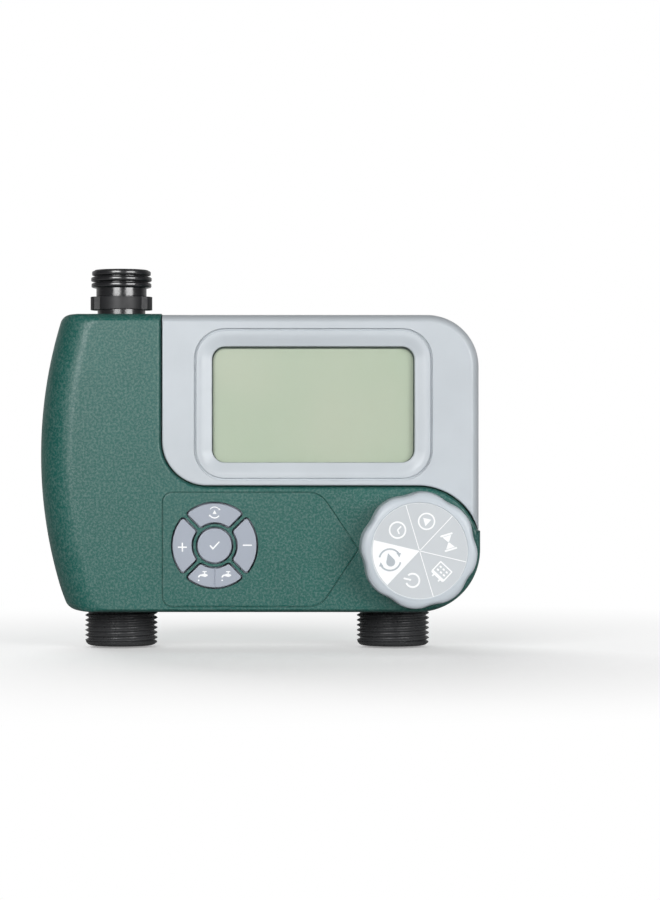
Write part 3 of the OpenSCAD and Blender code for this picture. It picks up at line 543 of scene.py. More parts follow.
def window_material():
    """Clear flat window: mostly see-through, with a mirror film that grows at a slant."""
    net = Net("clear_window")
    haze = net.noise(net.here(), 9, 4.0, 0.6)
    normal = net.bump(haze, 0.004)
    film = net.add("Fresnel", {"IOR": 1.45, "Normal": normal})
    film = net.span(net.add("NewGeometry", output="Backfacing"), film, 0.0)
    clear = net.add("BsdfTransparent", {"Color": (0.96, 0.98, 0.97, 1)})
    gloss = net.span(haze, 0.03, 0.09, 0.35, 0.65)
    shine = net.add("BsdfGlossy", {"Roughness": gloss, "Normal": normal})
    return net.surface(net.add("MixShader", {0: film, 1: clear, 2: shine}))


def display_material():
    """Blank reflective display: pale green with a slow drift and faint cells."""
    net = Net("blank_display")
    spot = net.here()
    drift = net.span(net.noise(spot, 45), 0, 1, 0.35, 0.65)
    mottle = net.noise(spot, 4, 3.0, 0.6)
    cells = net.add("TexChecker", {"Vector": spot, "Scale": 1 / (0.5 * MM)}, "Fac")
    body = net.mix(drift, (0.52, 0.565, 0.45, 1), (0.565, 0.58, 0.475, 1))
    body = net.mix(net.span(mottle, 0, 0.25, 0.4, 0.8), body, (0.58, 0.61, 0.51, 1))
    body = net.mix(net.span(cells, 0, 0.03), body, (0.3, 0.36, 0.28, 1))
    gloss = net.span(mottle, 0.3, 0.42, 0.3, 0.7)
    return net.principled({"Base Color": body, "Roughness": gloss, "IOR": 1.45})


def coil_material():
    """Copper winding under amber tape, banded along the coil's axis."""
    net = Net("coil_winding")
    bands = net.add("TexWave", {"Vector": net.here(), "Scale": 160.0, "Distortion": 0.4}, "Fac",
                    bands_direction="Y")
    mask, soft = edge_mask(net, 0.15)
    body = net.mix(bands, (0.30, 0.10, 0.02, 1), (0.62, 0.27, 0.06, 1))
    body = net.mix(mask, body, (0.7, 0.4, 0.15, 1))
    return net.principled({"Base Color": body, "Roughness": net.span(bands, 0.3, 0.5),
                           "Normal": net.bump(bands, 0.06, soft), "Coat Weight": 0.4})


def cell_material():
    """Battery sleeve in two plain colours."""
    net = Net("cell_sleeve")
    spot = net.here()
    low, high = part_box("batteries")
    share = net.span(net.add("SeparateXYZ", {"Vector": spot}, "X"), 0, 1, low.x, high.x)
    grain = net.noise(spot, 0.5)
    band = net.span(share, 0, 1, 0.60, 0.605)
    body = net.mix(band, (0.05, 0.05, 0.055, 1), (0.72, 0.42, 0.16, 1))
    return net.principled({"Base Color": body, "Roughness": net.span(grain, 0.22, 0.34),
                           "Metallic": 0.55, "Normal": net.bump(grain, 0.004),
                           "Coat Weight": 0.5})


# Material of each slot in the record. After the colour: roughness, grain and relief in
# millimetres, shade, wear and painted edge highlight, and edge width of moulded().
PAINTS = {
    # The green's edges are lightened strongly (0.9): a painted highlight along every edge.
    "green_housing": moulded("green_housing", (0.006, 0.098, 0.080), 0.36, 0.42, 0.022, 0.05,
                             0.9, 0.07, speck=0.30, ior=1.46),
    "grey_cover": moulded("grey_cover", (0.53, 0.57, 0.605), 0.33, 0.35, 0.006, 0.03, 0.3, 0.2),
    # The keys' edges are lightened (0.8): a painted highlight along their rims.
    "key_plastic": moulded("key_plastic", (0.355, 0.39, 0.455), 0.45, 0.35, 0.005, 0.03, 0.8,
                           0.3),
    "dial_print": moulded("dial_face", (0.565, 0.595, 0.62), 0.48, 0.3, 0.004, 0.02, 0.4, 0.15),
    "black_plastic": moulded("black_plastic", (0.016, 0.016, 0.018), 0.21, 0.5, 0.003, 0.2, 0.3,
                             0.12, coat=0.4, ior=1.7),
    "valve_plastic": moulded("valve_plastic", (0.035, 0.035, 0.04), 0.55, 0.4, 0.02, 0.15, 0.4),
    "black_rubber": moulded("black_rubber", (0.02, 0.02, 0.021), 0.7, 0.3, 0.01, 0.15, 0.5,
                            sheen=0.2),
    "silicone": moulded("silicone", (0.62, 0.62, 0.58), 0.55, 0.4, 0.006, 0.05, 0.3, sheen=0.15),
    "white_plastic": moulded("white_plastic", (0.75, 0.75, 0.72), 0.4, 0.4, 0.006, 0.04, 0.3),
    "board": moulded("board_mask", (0.03, 0.16, 0.08), 0.3, 0.8, 0.01, 0.2, 0.7, 0.15, coat=0.4),
    "component": moulded("component", (0.03, 0.03, 0.035), 0.45, 0.3, 0.01, 0.15, 0.5, 0.15),
    "filter_mesh": moulded("filter_mesh", (0.55, 0.57, 0.60), 0.4, 0.3, 0.006, 0.05, 0.4, 0.1),
    "leads": moulded("red_lead", (0.35, 0.03, 0.03), 0.4, 0.5, 0.006, 0.1, 0.2, 0.1),
    "zinc_steel": drawn_metal("zinc_steel", (0.62, 0.62, 0.64), 0.3),
    "spring_steel": drawn_metal("spring_steel", (0.66, 0.67, 0.69), 0.25, (1, 1, 1)),
    "stainless": drawn_metal("stainless", (0.70, 0.70, 0.71), 0.22, (14, 14, 1)),
    "capacitor": drawn_metal("capacitor_can", (0.30, 0.34, 0.45), 0.35, (1, 14, 1)),
    "window": window_material(),
    "lcd": display_material(),
    "cell_sleeve": cell_material(),
    "coil": coil_material(),
}
# Paints of single pieces.
KNOB_GREY = moulded("knob_grey", (0.53, 0.58, 0.625), 0.38, 0.35, 0.006, 0.03, 0.3, 0.25)
WHITE_INK = moulded("white_ink", (0.93, 0.94, 0.95), 0.5, 0.3, 0.003, 0.02, 0.0, 0.02)
# Light grey paint for a painted highlight ring at the dial's edge.
RING_HIGHLIGHT_INK = moulded("ring_highlight_paint", (0.70, 0.73, 0.75), 0.5, 0.3, 0.003, 0.02, 0.0, 0.02)
GREY_INK = moulded("grey_ink", (0.45, 0.49, 0.53), 0.5, 0.3, 0.003, 0.03, 0.0, 0.02)
# Near-black paint for the painted shadow line inside the window opening.
PAINTED_SHADOW_INK = moulded("painted_shadow_ink", (0.10, 0.12, 0.105), 0.5, 0.3, 0.003, 0.05, 0.0, 0.05)
THREAD_BLACK = moulded("thread_black", (0.046, 0.047, 0.049), 0.28, 0.5, 0.0, 0.1, 0.2, 0.1)
MATT_BLACK = moulded("matt_black", (0.024, 0.024, 0.026), 0.48, 0.5, 0.004, 0.15, 0.3, 0.15)


def paint_frame():
    """Gives every CAD node the material of its slot in the record."""
    for row in frame["record"]["subparts"]:
        node = frame["nodes"][row["node"]]
        node.data.materials.clear()
        node.data.materials.append(PAINTS[row["material_slot"]])


# ---------- housing ----------


def rounding(edge, depth):
    """How far a rounded edge lies inside its side at a depth below the face.

    edge is (width, depth, power): power 2 is a quarter ellipse, less is closer to a bevel.
    """
    width, deep, power = edge
    t = min(1.0, max(0.0, depth / deep))
    return width * (1 - (1 - (1 - t) ** power) ** (1 / power))


# Halves of the housing: face, way in from it, and the edges at the left, above and below.
FRONT_HALF = (FACE, 1, LEFT_EDGE, EDGE, LOW_EDGE)
REAR_HALF = (REAR, -1, REAR_LEFT_EDGE, REAR_EDGE, REAR_EDGE)


def half_volume(half, inset, end, start=None):
    """Volume of a half, from its face or from y = start to y = end."""
    face, way, left_edge, edge, low_edge = half
    depths = {deep * share for deep, steps in ((edge[1], 10), (left_edge[1], 22))
              for _, share in quarter(steps)}
    begin = 0 if start is None else (start - face) * way - inset
    layers = []
    for d in [begin] + [d for d in sorted(depths) if d > begin + 0.01]:
        left, other, low = [inset + rounding(e, d) for e in (left_edge, edge, low_edge)]
        layers.append((face + way * (inset + d), outline(left, other, other, low)))
    layers.append((end, outline(inset, inset, inset, inset)))
    return loft(layers)


def flared(outline_at, depth, gap, edge, steps, bevel=0.0):
    """Cutter for an opening in the front with a rounded edge, below a shallow bevel."""
    wide, fall = gap + edge[0] + bevel, bevel * 0.34
    layers = [(FACE - 2, outline_at(wide))]
    if bevel:
        layers.append((FACE, outline_at(wide)))
    for _, share in quarter(steps):
        d = edge[1] * share
        layers.append((FACE + fall + d, outline_at(gap + rounding(edge, d))))
    layers.append((FACE + depth, outline_at(gap)))
    return loft(layers)


def groove(outline_at, width, depth, bevel):
    """Ring cutter for a groove in the front face, with a shallow bevel on its inner side."""
    profile = [(-0.12, -1), (-0.12, 0), (0, 0.12), (width * 0.2, depth), (width * 0.8, depth),
               (width, bevel * 0.35), (width + bevel * 0.2, bevel * 0.21), (width + bevel, 0),
               (width + bevel, -1)]
    profile += profile[:1]
    return skin([[(x, FACE + d, z) for x, z in outline_at(w)] for w, d in profile], caps=False)


def pipe_holes():
    """Cutters for the two outlets and the inlet."""
    tools = [rod(13.0, BOTTOM - 2, BOTTOM + 4, x, 0) for x in OUTLET_X]
    return tools + [rod(10.1, TOP - 4, TOP + 2, 0, 0)]


def screw_places():
    """(x, z) of the housing screws: the middle of each cluster of points of their node."""
    reach = 8  # wider than a screw, less than the way to the next one
    clusters = []
    for vertex in frame["nodes"]["housing_screws"].data.vertices:
        p = vertex.co / MM
        for cluster in clusters:
            if hypot(p.x - cluster[0].x, p.z - cluster[0].z) < reach:
                cluster.append(p)
                break
        else:
            clusters.append([p])
    spots = []
    for cluster in clusters:
        xs, zs = [p.x for p in cluster], [p.z for p in cluster]
        spots.append(((min(xs) + max(xs)) / 2, (min(zs) + max(zs)) / 2))
    return spots


def front_shell():
    shell = half_volume(FRONT_HALF, 0, -PARTING)
    carve(shell, half_volume(FRONT_HALF, WALL, 1))
    carve(shell, flared(lambda g: cover_outline(-g), COVER_BACK + GAP - FACE, JOINT, JOINT_EDGE,
                        steps=10, bevel=0.45))
    openings = [lambda g, a=angle: ring_key_outline(g, a) for angle in (0, 90, 180, 270)]
    openings.append(lambda g: circle(*PAD, OK_R + g))
    for opening in openings:
        carve(shell, flared(opening, WALL + 1, KEY_GAP, KEY_EDGE, steps=3))
    carve(shell, groove(panel_outline, width=0.34, depth=0.5, bevel=0.5))
    carve(shell, y_cylinder(*LOBE, SHAFT_R + 0.1, FACE - 1, BEHIND))
    carve(shell, *pipe_holes())
    place(shell, "housing_front", "green_housing", ["front_shell"], sharp=16)


def rear_shell():
    screws, boss_r, hole_r, head_r, head_y = screw_places(), 4.2, 1.65, 3.1, 22
    shell = half_volume(REAR_HALF, 0, PARTING)
    carve(shell, half_volume(REAR_HALF, WALL, -1))
    for x, z in screws:
        boss = y_cylinder(x, z, boss_r, PARTING, REAR - 0.3)
        carve(boss, half_volume(REAR_HALF, 0.3, -1), operation="INTERSECT")
        join(shell, boss)
    door_low, door_high = corners("battery_door")
    tray_low, tray_high = corners("battery_tray")
    pin_low, pin_high = corners("door_hinge_pin")
    seat = 35.9  # half the width of the thick wall round the battery tray
    join(shell, box(HINGE.x - seat, HINGE.x + seat, 26.4, REAR - 1.1,
                    tray_low.z - 4.8, tray_high.z + 4.8))
    carve(shell, box(door_low.x - 0.25, door_high.x + 0.25, REAR - 2, REAR + 4,
                     HINGE.z + 0.5, door_high.z + 0.3))
    carve(shell, box(tray_low.x - GAP, tray_high.x + GAP, 20, REAR + 1,
                     tray_low.z - GAP, tray_high.z + GAP))
    carve(shell, hinge_rod(BARREL_R + 0.3, -BARREL - 0.3, BARREL + 0.3))
    for low, high in ((-31, -BARREL - 0.2), (BARREL + 0.2, 31)):
        join(shell, hinge_rod(BARREL_R, low, high, 0.3))
    carve(shell, rod(BORE_R - 0.02, pin_low.x - 1, pin_high.x + 1, HINGE.y, HINGE.z, "X", 32))
    for x, z in screws:
        carve(shell, y_cylinder(x, z, hole_r, -1, head_y + 0.5, 32),
              y_cylinder(x, z, head_r, head_y, REAR + 1, 48))
    carve(shell, *pipe_holes())
    place(shell, "housing_rear", "green_housing", ["rear_shell"])


def housing_gasket():
    """Flat cord between the two shells, with a sleeve round each pipe."""
    cord = prism(outline(0.5, 0.5, 0.5, 0.5), -PARTING, PARTING)
    carve(cord, prism(outline(1.9, 1.9, 1.9, 1.9), -1, 1))
    sleeves = [(x, 12.96, ROOT_R + 0.06, BOTTOM + 0.7, BOTTOM + 2.3) for x in OUTLET_X]
    sleeves.append((0, 10.06, NECK_R + 0.05, TOP - 2, TOP - 0.5))
    for x, outer, inner, low, high in sleeves:
        join(cord, rod(outer, low, high, x, 0, hole=inner))
    place(cord, "gasket", "black_rubber", ["housing_gasket"])


# ---------- display ----------


def display_cover():
    cover = half_volume(FRONT_HALF, COVER_SINK, COVER_BACK)
    layers = [(COVER_FACE - 1, cover_outline(LIP))]
    for inset, deep in quarter(8):
        layers.append((COVER_FACE + LIP * deep, cover_outline(LIP * inset)))
    layers.append((COVER_BACK + 1, cover_outline(0)))
    carve(cover, loft(layers), operation="INTERSECT")
    carve(cover, half_volume(FRONT_HALF, WALL + COVER_SINK, COVER_BACK + 1,
                             COVER_FACE + COVER_PLATE))
    carve(cover, window_dish())
    carve(cover, prism(window_rect(0, 0, WINDOW_R), FACE, BEHIND))
    carve(cover, prism(window_rect(4.2, 3.2, WINDOW_R + 1), glass_low.y - 0.05, BEHIND))
    place(cover, "display_frame", "grey_cover", ["display_cover"])


def window_rect(more_w, more_h, r, count=10):
    """Outline round the window, wider and higher than its opening."""
    return rounded_rect(WINDOW_X, WINDOW_Z, WINDOW_W + more_w, WINDOW_H + more_h, r, count)


def window_dish():
    """Cutter for the dished frame round the window: a fine groove, a flat, then a slope."""
    steps = [(DISH_W + 0.55, -1.0), (DISH_W + 0.55, 0.0), (DISH_W + 0.42, 0.1),
             (DISH_W + 0.36, 1.2), (DISH_W - 0.3, 1.2), (DISH_W - 0.38, 0.5),
             (DISH_W - 0.5, 0.4), (DISH_W - 1.3, 0.38), (4.1, 0.42), (3.5, 0.53), (2.6, 0.80),
             (1.6, 1.16), (0.9, 1.40), (0.5, 1.50), (0.28, 1.58), (0.12, 1.72), (0.0, 2.0)]
    return loft([(COVER_FACE + deep, window_rect(2 * wide, 2 * wide, WINDOW_R + wide, 14))
                 for wide, deep in steps])


def display_window():
    front, back = glass_low.y, glass_high.y
    layers = []
    for y, inset in ((front, 0.25), (front + 0.07, 0.07), (front + 0.25, 0), (back - 0.1, 0),
                     (back, 0.1)):
        layers.append((y, window_rect(PANE_W - 2 * inset, PANE_H - 2 * inset, 5.4)))
    place(loft(layers), "window_pane", "window", ["display_window"])


def window_painted_shadow():
    """Painted shadow: a dark border on the back of the pane, set lower so it is wider at the top;
    it shows as a thin dark line of painted shade inside the opening.
    """
    back = glass_high.y
    inner = rounded_rect(WINDOW_X - 0.05, WINDOW_Z - 0.3, WINDOW_W - 0.75, WINDOW_H - 0.7, 4.3)
    shadow_strip = prism(window_rect(3, 2.2, 5), back + 0.02, back + 0.1)
    carve(shadow_strip, prism(inner, back - 1, back + 1))
    place(shadow_strip, "window_painted_shadow", "black_plastic", paint=PAINTED_SHADOW_INK, weighted=False)


# ---------- printed symbols ----------


def strip(a, b, width):
    """Straight stroke from a to b with slightly rounded ends."""
    a, b = Vector(a), Vector(b)
    along = (b - a).normalized()
    across = Vector((-along.y, along.x)) * width / 2
    nose = along * width * 0.3
    ring = [a - across, b - across, b + nose - across * 0.45, b + nose + across * 0.45,
            b + across, a + across, a - nose + across * 0.45, a - nose - across * 0.45]
    return [tuple(p) for p in ring]


def bow(cx, cz, r, width, start, end):
    """Curved stroke of an angle range round a centre."""
    count = max(4, int(abs(end - start) / 9))
    outer = arc(cx, cz, r + width / 2, r + width / 2, start, end, count)
    inner = arc(cx, cz, r - width / 2, r - width / 2, end, start, count)
    return outer + inner


def hoop(cx, cz, r, width):
    return [bow(cx, cz, r, width, 0, 180), bow(cx, cz, r, width, 180, 360)]


# Each symbol is a list of outlines round its middle.
TAP = [strip((0.1, 1.75), (1.5, 1.75), 0.42), strip((0.8, 1.7), (0.8, 0.9), 0.42),
       [(-0.6, 0.1), (1.0, -0.25), (1.9, 0.15), (1.95, 0.6), (1.2, 0.95), (0.3, 1.0),
        (-0.5, 0.75)],
       bow(-0.55, -0.45, 0.88, 0.62, 90, 178), circle(-1.45, -1.5, 0.3, 20)]
CYCLE = [bow(0, 0, 1.95, 0.3, 35, 145), bow(0, 0, 1.95, 0.42, 215, 325),
         [(-0.75, -0.55), (0.75, -0.55), (0, 0.85)],
         [(1.35, 0.75), (2.1, 0.95), (1.85, 1.55)],
         [(-1.35, -0.75), (-2.1, -0.95), (-1.85, -1.55)]]
MINUS = [strip((-1.5, 0), (1.5, 0), 0.5)]
PLUS = MINUS + [strip((0, -1.5), (0, 1.5), 0.5)]
TICK = [[(-2.0, 0.05), (-0.65, -1.45), (2.1, 1.55), (1.7, 1.95), (-0.6, -0.62), (-1.6, 0.45)]]
CLOCK = hoop(0, 0, 2.6, 0.55) + [strip((0, 0), (0, 1.6), 0.5), strip((0, 0), (1.2, -0.5), 0.5)]
START = hoop(0, 0, 2.6, 0.5) + [[(-0.9, -1.4), (1.6, 0), (-0.9, 1.4)]]
HOURGLASS = [strip((-1.9, 2.5), (1.9, 2.5), 0.6), strip((-1.9, -2.5), (1.9, -2.5), 0.6),
             [(-1.5, 2.05), (1.5, 2.05), (0.2, 0.1), (-0.2, 0.1)],
             [(-1.5, -2.05), (-0.2, -0.1), (0.2, -0.1), (1.5, -2.05)]]
CALENDAR = [strip((-2.3, 1.9), (2.3, 1.9), 1.0), strip((-2.5, -2.2), (2.5, -2.2), 0.42)]
CALENDAR += [strip((x, -2.2), (x, 1.9), 0.42) for x in (-2.5, 2.5)]
CALENDAR += [strip((x, 2.3), (x, 3.0), 0.5) for x in (-1.3, 1.3)]
CALENDAR += [strip((x - 0.25, z), (x + 0.25, z), 0.6)
             for x in (-1.35, 0, 1.35) for z in (0.35, -0.95)]
STOP = [bow(0, 0, 2.2, 0.6, 125, 415), strip((0, 0.7), (0, 2.9), 0.6)]
# A drop inside two turning arrows.
DROP = [arc(0, -0.75, 1.35, 1.35, -210, 30, 18) + [(0, 2.1)], bow(0, 0, 3.3, 0.5, 20, 150),
        bow(0, 0, 3.3, 0.5, 200, 330), [(2.5, 1.45), (3.8, 1.0), (2.95, -0.1)],
        [(-2.5, -1.45), (-3.8, -1.0), (-2.95, 0.1)]]


def printed(shapes, x, z, y, turn=0.0, size=1.0, thick=0.05):
    """Raised print: every shape as a thin solid that stands on the surface at y.

    Each is 2 microns thicker than the last, so that no two of them share a face.
    """
    solids = []
    for i, shape in enumerate(shapes):
        ring = [shift(spin((u * size, v * size), turn), x, z) for u, v in shape]
        solids.append(prism(ring, y - thick - 0.002 * i, y))
    return solids


def label(solids, name, body, ink=None):
    """Places printed solids as one piece."""
    place(merged(solids), name, "dial_print", (), ink or WHITE_INK, body, weighted=False)


# ---------- keypad ----------


def key_cap(outline_at):
    """Cap with a rounded rim."""
    layers = [(KEY_TOP + KEY_ROUND * deep, outline_at(-KEY_ROUND * inset))
              for inset, deep in quarter(5)]
    return loft(layers + [(KEY_BACK, outline_at(0))])


def flanged_key(outline_at, x, z):
    """Key with a flange behind the shell's wall and a foot at x, z that presses its dome."""
    key = key_cap(outline_at)
    join(key, prism(outline_at(0.6), FACE + WALL + 0.1, KEY_BACK))
    join(key, y_cylinder(x, z, 2.4, KEY_BACK - 0.1, KEY_FOOT, 40))
    return key


def ring_key(name, body, angle, shapes, offset):
    x, z = shift(spin((0, KEY_REACH), angle), *PAD)
    key = flanged_key(lambda g: ring_key_outline(g, angle), x, z)
    place(key, name, "key_plastic", [f"{body}_key"], body=body)
    label(printed(shapes, x + offset[0], z + offset[1], KEY_TOP), f"{name}_symbol", body)


def middle_key():
    key = flanged_key(lambda g: circle(*PAD, OK_R + g, 96), *PAD)
    place(key, "middle_key", "key_plastic", ["ok_key"], body="ok")
    label(printed(TICK, PAD_X, PAD_Z - 0.2, KEY_TOP, 0, 0.92), "middle_key_symbol", "ok")


def rocker_key():
    """Bottom key: one cap with a groove between its two halves, on a pivot."""
    key = key_cap(lambda g: ring_key_outline(g, 180))
    low, high = corners("outlet_rocker_key")
    slot = [(-0.28, -1), (0.28, -1), (0.22, 0.12), (0, 0.3), (-0.22, 0.12)]
    carve(key, skin([[(PAD_X + u, KEY_TOP + d, PAD_Z - reach) for u, d in slot]
                     for reach in (17, 6)]))
    join(key, prism(ring_key_outline(0.6, 180), KEY_BACK - 0.2, KEY_BACK + 0.6))
    join(key, rod(0.7, low.z, high.z, PAD_X, KEY_BACK - 0.6, count=32, bevel=0.2))
    for side in (-1, 1):
        x, z = PAD_X + side * ROCKER_FOOT[0], PAD_Z + ROCKER_FOOT[1]
        join(key, y_cylinder(x, z, 1.8, KEY_BACK + 0.4, KEY_FOOT, 32))
    place(key, "bottom_key", "key_plastic", ["outlet_rocker_key"], body="rocker")
    ink = []
    for side in (-1, 1):
        ink += printed(TAP, PAD_X + side * 4.2 - 0.1, PAD_Z - 11.0, KEY_TOP, 0, 0.95)
    label(ink, "bottom_key_symbols", "rocker")


def keypad_mat():
    """Silicone sheet with one soft dome under each key."""
    top = MAT_FACE + 0.05
    sheet = turned([(0.001, top), (17.2, top), (17.4, top + 0.2), (17.4, MAT_BACK),
                    (0.001, MAT_BACK)], *PAD, 96, "Y")
    place(sheet, "keypad_sheet", "silicone", ["keypad_mat"])
    pressed, tilted = 0.757, 0.93  # share of a dome's height left at its joint's limit
    spots = [("ok_press", 0, 0, pressed)]
    for joint, angle in (("manual_press", 0), ("plus_press", 90), ("minus_press", 270)):
        spots.append((joint, *spin((0, KEY_REACH), angle), pressed))
    for side in (-1, 1):
        spots.append(("outlet_rocker_tilt", side * ROCKER_FOOT[0], ROCKER_FOOT[1], tilted))
    crown, inside = KEY_FOOT - 0.01, KEY_FOOT + 1.8
    profile = [(0.001, crown), (2.5, crown), (2.85, crown + 0.21), (3.3, inside + 0.2),
               (4.0, MAT_FACE), (2.9, MAT_FACE), (2.2, inside), (0.001, inside)]
    for i, (joint, dx, dz, keep) in enumerate(spots):
        dome = turned(profile, PAD_X + dx, PAD_Z + dz, 40, "Y")
        place(dome, f"keypad_dome_{i + 1}", "silicone")
        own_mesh(dome)


# ---------- selector ----------


def knob_outline(inset, fade):
    """Scalloped outline; fade 0 is a plain circle."""
    points, count = [], 240
    for i in range(count):
        a = 360 * i / count
        wave = 0.5 + 0.5 * cos(radians(SCALLOPS * (a - 14)))
        r = KNOB_R - inset - fade * SCALLOP * (0.35 * wave + 0.65 * wave ** 2.2)
        points.append(shift(spin((r, 0), a), *LOBE))
    return points


def selector_knob():
    wide, deep, taper = 3.2, 1.9, 0.35
    layers = []
    for i, (inset, share) in enumerate(quarter(14)):
        layers.append((KNOB_TOP + deep * share, knob_outline(taper + wide * inset, smooth(i / 12))))
    side, foot = KNOB_TOP + deep, KNOB_BASE - 0.5
    for i in range(1, 6):
        layers.append((side + (foot - side) * i / 5, knob_outline(taper * (1 - i / 5), 1)))
    layers.append((KNOB_BASE - 0.15, knob_outline(0.05, 1)))
    layers.append((KNOB_BASE, knob_outline(0.3, 1)))
    knob = loft(layers)
    carve(knob, y_cylinder(*LOBE, 16.4, KNOB_TOP + 3, KNOB_BASE + 1, 96))
    join(knob, y_cylinder(*LOBE, 5.6, KNOB_TOP + 2, KNOB_BASE - 0.3))
    carve(knob, y_cylinder(*LOBE, DIAL_R + 0.02, KNOB_TOP - 1, KNOB_TOP + 0.8, 192))
    bead = [(-0.2, 0.08), (-0.16, -0.01), (-0.02, -0.08), (0.28, -0.09), (0.46, -0.02),
            (0.52, 0.3), (0.01, 0.3), (0.01, 0.08)]
    rim = turned([(DIAL_R + r, KNOB_TOP + d) for r, d in bead], *LOBE, 192, "Y")
    join(knob, rim)
    carve(knob, y_cylinder(*LOBE, SHAFT_R + 0.03, SHAFT_TOP - 0.1, KNOB_BASE + 1, 48))
    carve(knob, y_cylinder(*LOBE, SHAFT_R, KNOB_TOP, SHAFT_TOP - 1.1, 48))
    place(knob, "selector_body", "grey_cover", ["selector_knob"], KNOB_GREY, "selector")


def dial():
    """Disc in six sectors: five with a line between them and a symbol, one white."""
    face = KNOB_TOP + 0.1
    layers = [(y, circle(*LOBE, DIAL_R - inset, 144)) for y, inset in
              ((face, 0.1), (face + 0.03, 0.03), (face + 0.1, 0), (KNOB_TOP + 0.78, 0))]
    place(loft(layers), "dial_disc", "dial_print", ["knob_dial"], body="selector")
    first, step, white = -13.3, 60, 3

    def marked(sector, shapes, reach, y, size):
        """Symbol at a reach in the middle of a sector, its top towards the dial's centre."""
        middle = first + step * (sector + 0.5)
        x, z = shift(spin((reach, 0), middle), *LOBE)
        return printed(shapes, x, z, y, middle - 180, size)

    ink = []
    for i in (0, 1, 2, 5):
        ink += printed([strip((0.35, 0), (16.8, 0), 0.28)], *LOBE, face, first + step * i)
    for sector, shapes in ((0, HOURGLASS), (1, START), (2, CLOCK), (4, STOP), (5, CALENDAR)):
        ink += marked(sector, shapes, 10.7, face, 1.08)
    edge = first + step * white
    wedge = [(0.0, 0.0)] + arc(0, 0, 16.6, 16.6, edge, edge + step, 28)
    ink += printed([wedge], *LOBE, face)
    label(ink, "dial_print", "selector")
    # Light ring at the dial's edge: a painted highlight standing in for light on the rim's bead.
    ring = printed(hoop(0, 0, 16.95, 0.3), *LOBE, face, thick=0.03)
    label(ring, "dial_ring_highlight", "selector", RING_HIGHLIGHT_INK)
    label(marked(white, DROP, 10.9, face - 0.05, 1.15), "dial_mark", "selector", GREY_INK)


# ---------- threads and water connections ----------


# Outline of the thread as (share of a pitch, share of its height).
V_THREAD = [(0.0, 0.0), (0.07, 0.05), (0.36, 0.93), (0.42, 1.0), (0.50, 1.0), (0.56, 0.93),
            (0.85, 0.05), (0.93, 0.0)]
# Outline of one of the inlet's crests as (share of its height, millimetres up).
CREST = [(0.0, 1.02), (0.3, 0.94), (0.72, 0.82), (0.93, 0.62), (1.0, 0.36), (1.0, -0.36),
         (0.93, -0.62), (0.72, -0.82), (0.3, -0.94), (0.0, -1.02)]


def threaded(x, low, high, profile):
    """Solid with a helical thread between heights low and high, closed by a turned profile.

    profile runs from the thread's lower end round the inside of the piece to its upper end.
    The last ring is one turn further on than the first.
    """
    columns, start, runout = 128, -0.1, 0.48 * PITCH
    turns = int((high - low) / PITCH) + 3
    rings = []
    for column in range(columns + 1):
        way, thread = column / columns, []
        for turn in range(-2, turns):
            for share, rise in V_THREAD:
                z = low + PITCH * (turn + share + start + way)
                fade = smooth((z - low) / runout) * smooth((high - z) / runout)
                r = ROOT_R + (THREAD_R - ROOT_R) * rise * fade
                thread.append((r, min(max(z, low), high)))
        c, s = cos(tau * way), sin(tau * way)
        rings.append([(x + r * c, r * s, z) for r, z in thread + profile[::-1]])
    return skin(rings, caps=False)


def outlet(x, side):
    inner, neck, groove_r, flange, top = 8.2, 9.9, 8.9, 13.5, OUTLET_TOP
    profile = [(ROOT_R - 0.2, 1.2), (ROOT_R - 0.8, 0.6), (ROOT_R - 1, 0.5), (inner + 0.5, 0.5),
               (inner + 0.15, 0.62), (inner, 1.0), (inner, top), (neck - 0.1, top),
               (neck, top - 0.1), (neck, top - 2), (groove_r, top - 2), (groove_r, top - 4),
               (neck, top - 4), (neck, top - 5.5), (flange, top - 5.5), (flange, top - 6.75),
               (ROOT_R, top - 6.75), (ROOT_R, BOTTOM + WALL + 1.3)]
    solid = threaded(x, 0.8, BOTTOM + 0.5, profile)
    mouth = turned([(inner + 0.6, 0.55), (11.5, 0.55), (12.2, 0.8), (12.85, 1.5), (13.05, 1.9),
                    (12.4, 2.3), (inner + 0.6, 2.3)], x, 0, 128)
    join(solid, mouth)
    place(solid, f"outlet_thread_{side}", "black_plastic", [f"{side}_outlet"],
          THREAD_BLACK, sharp=28, weighted=False)


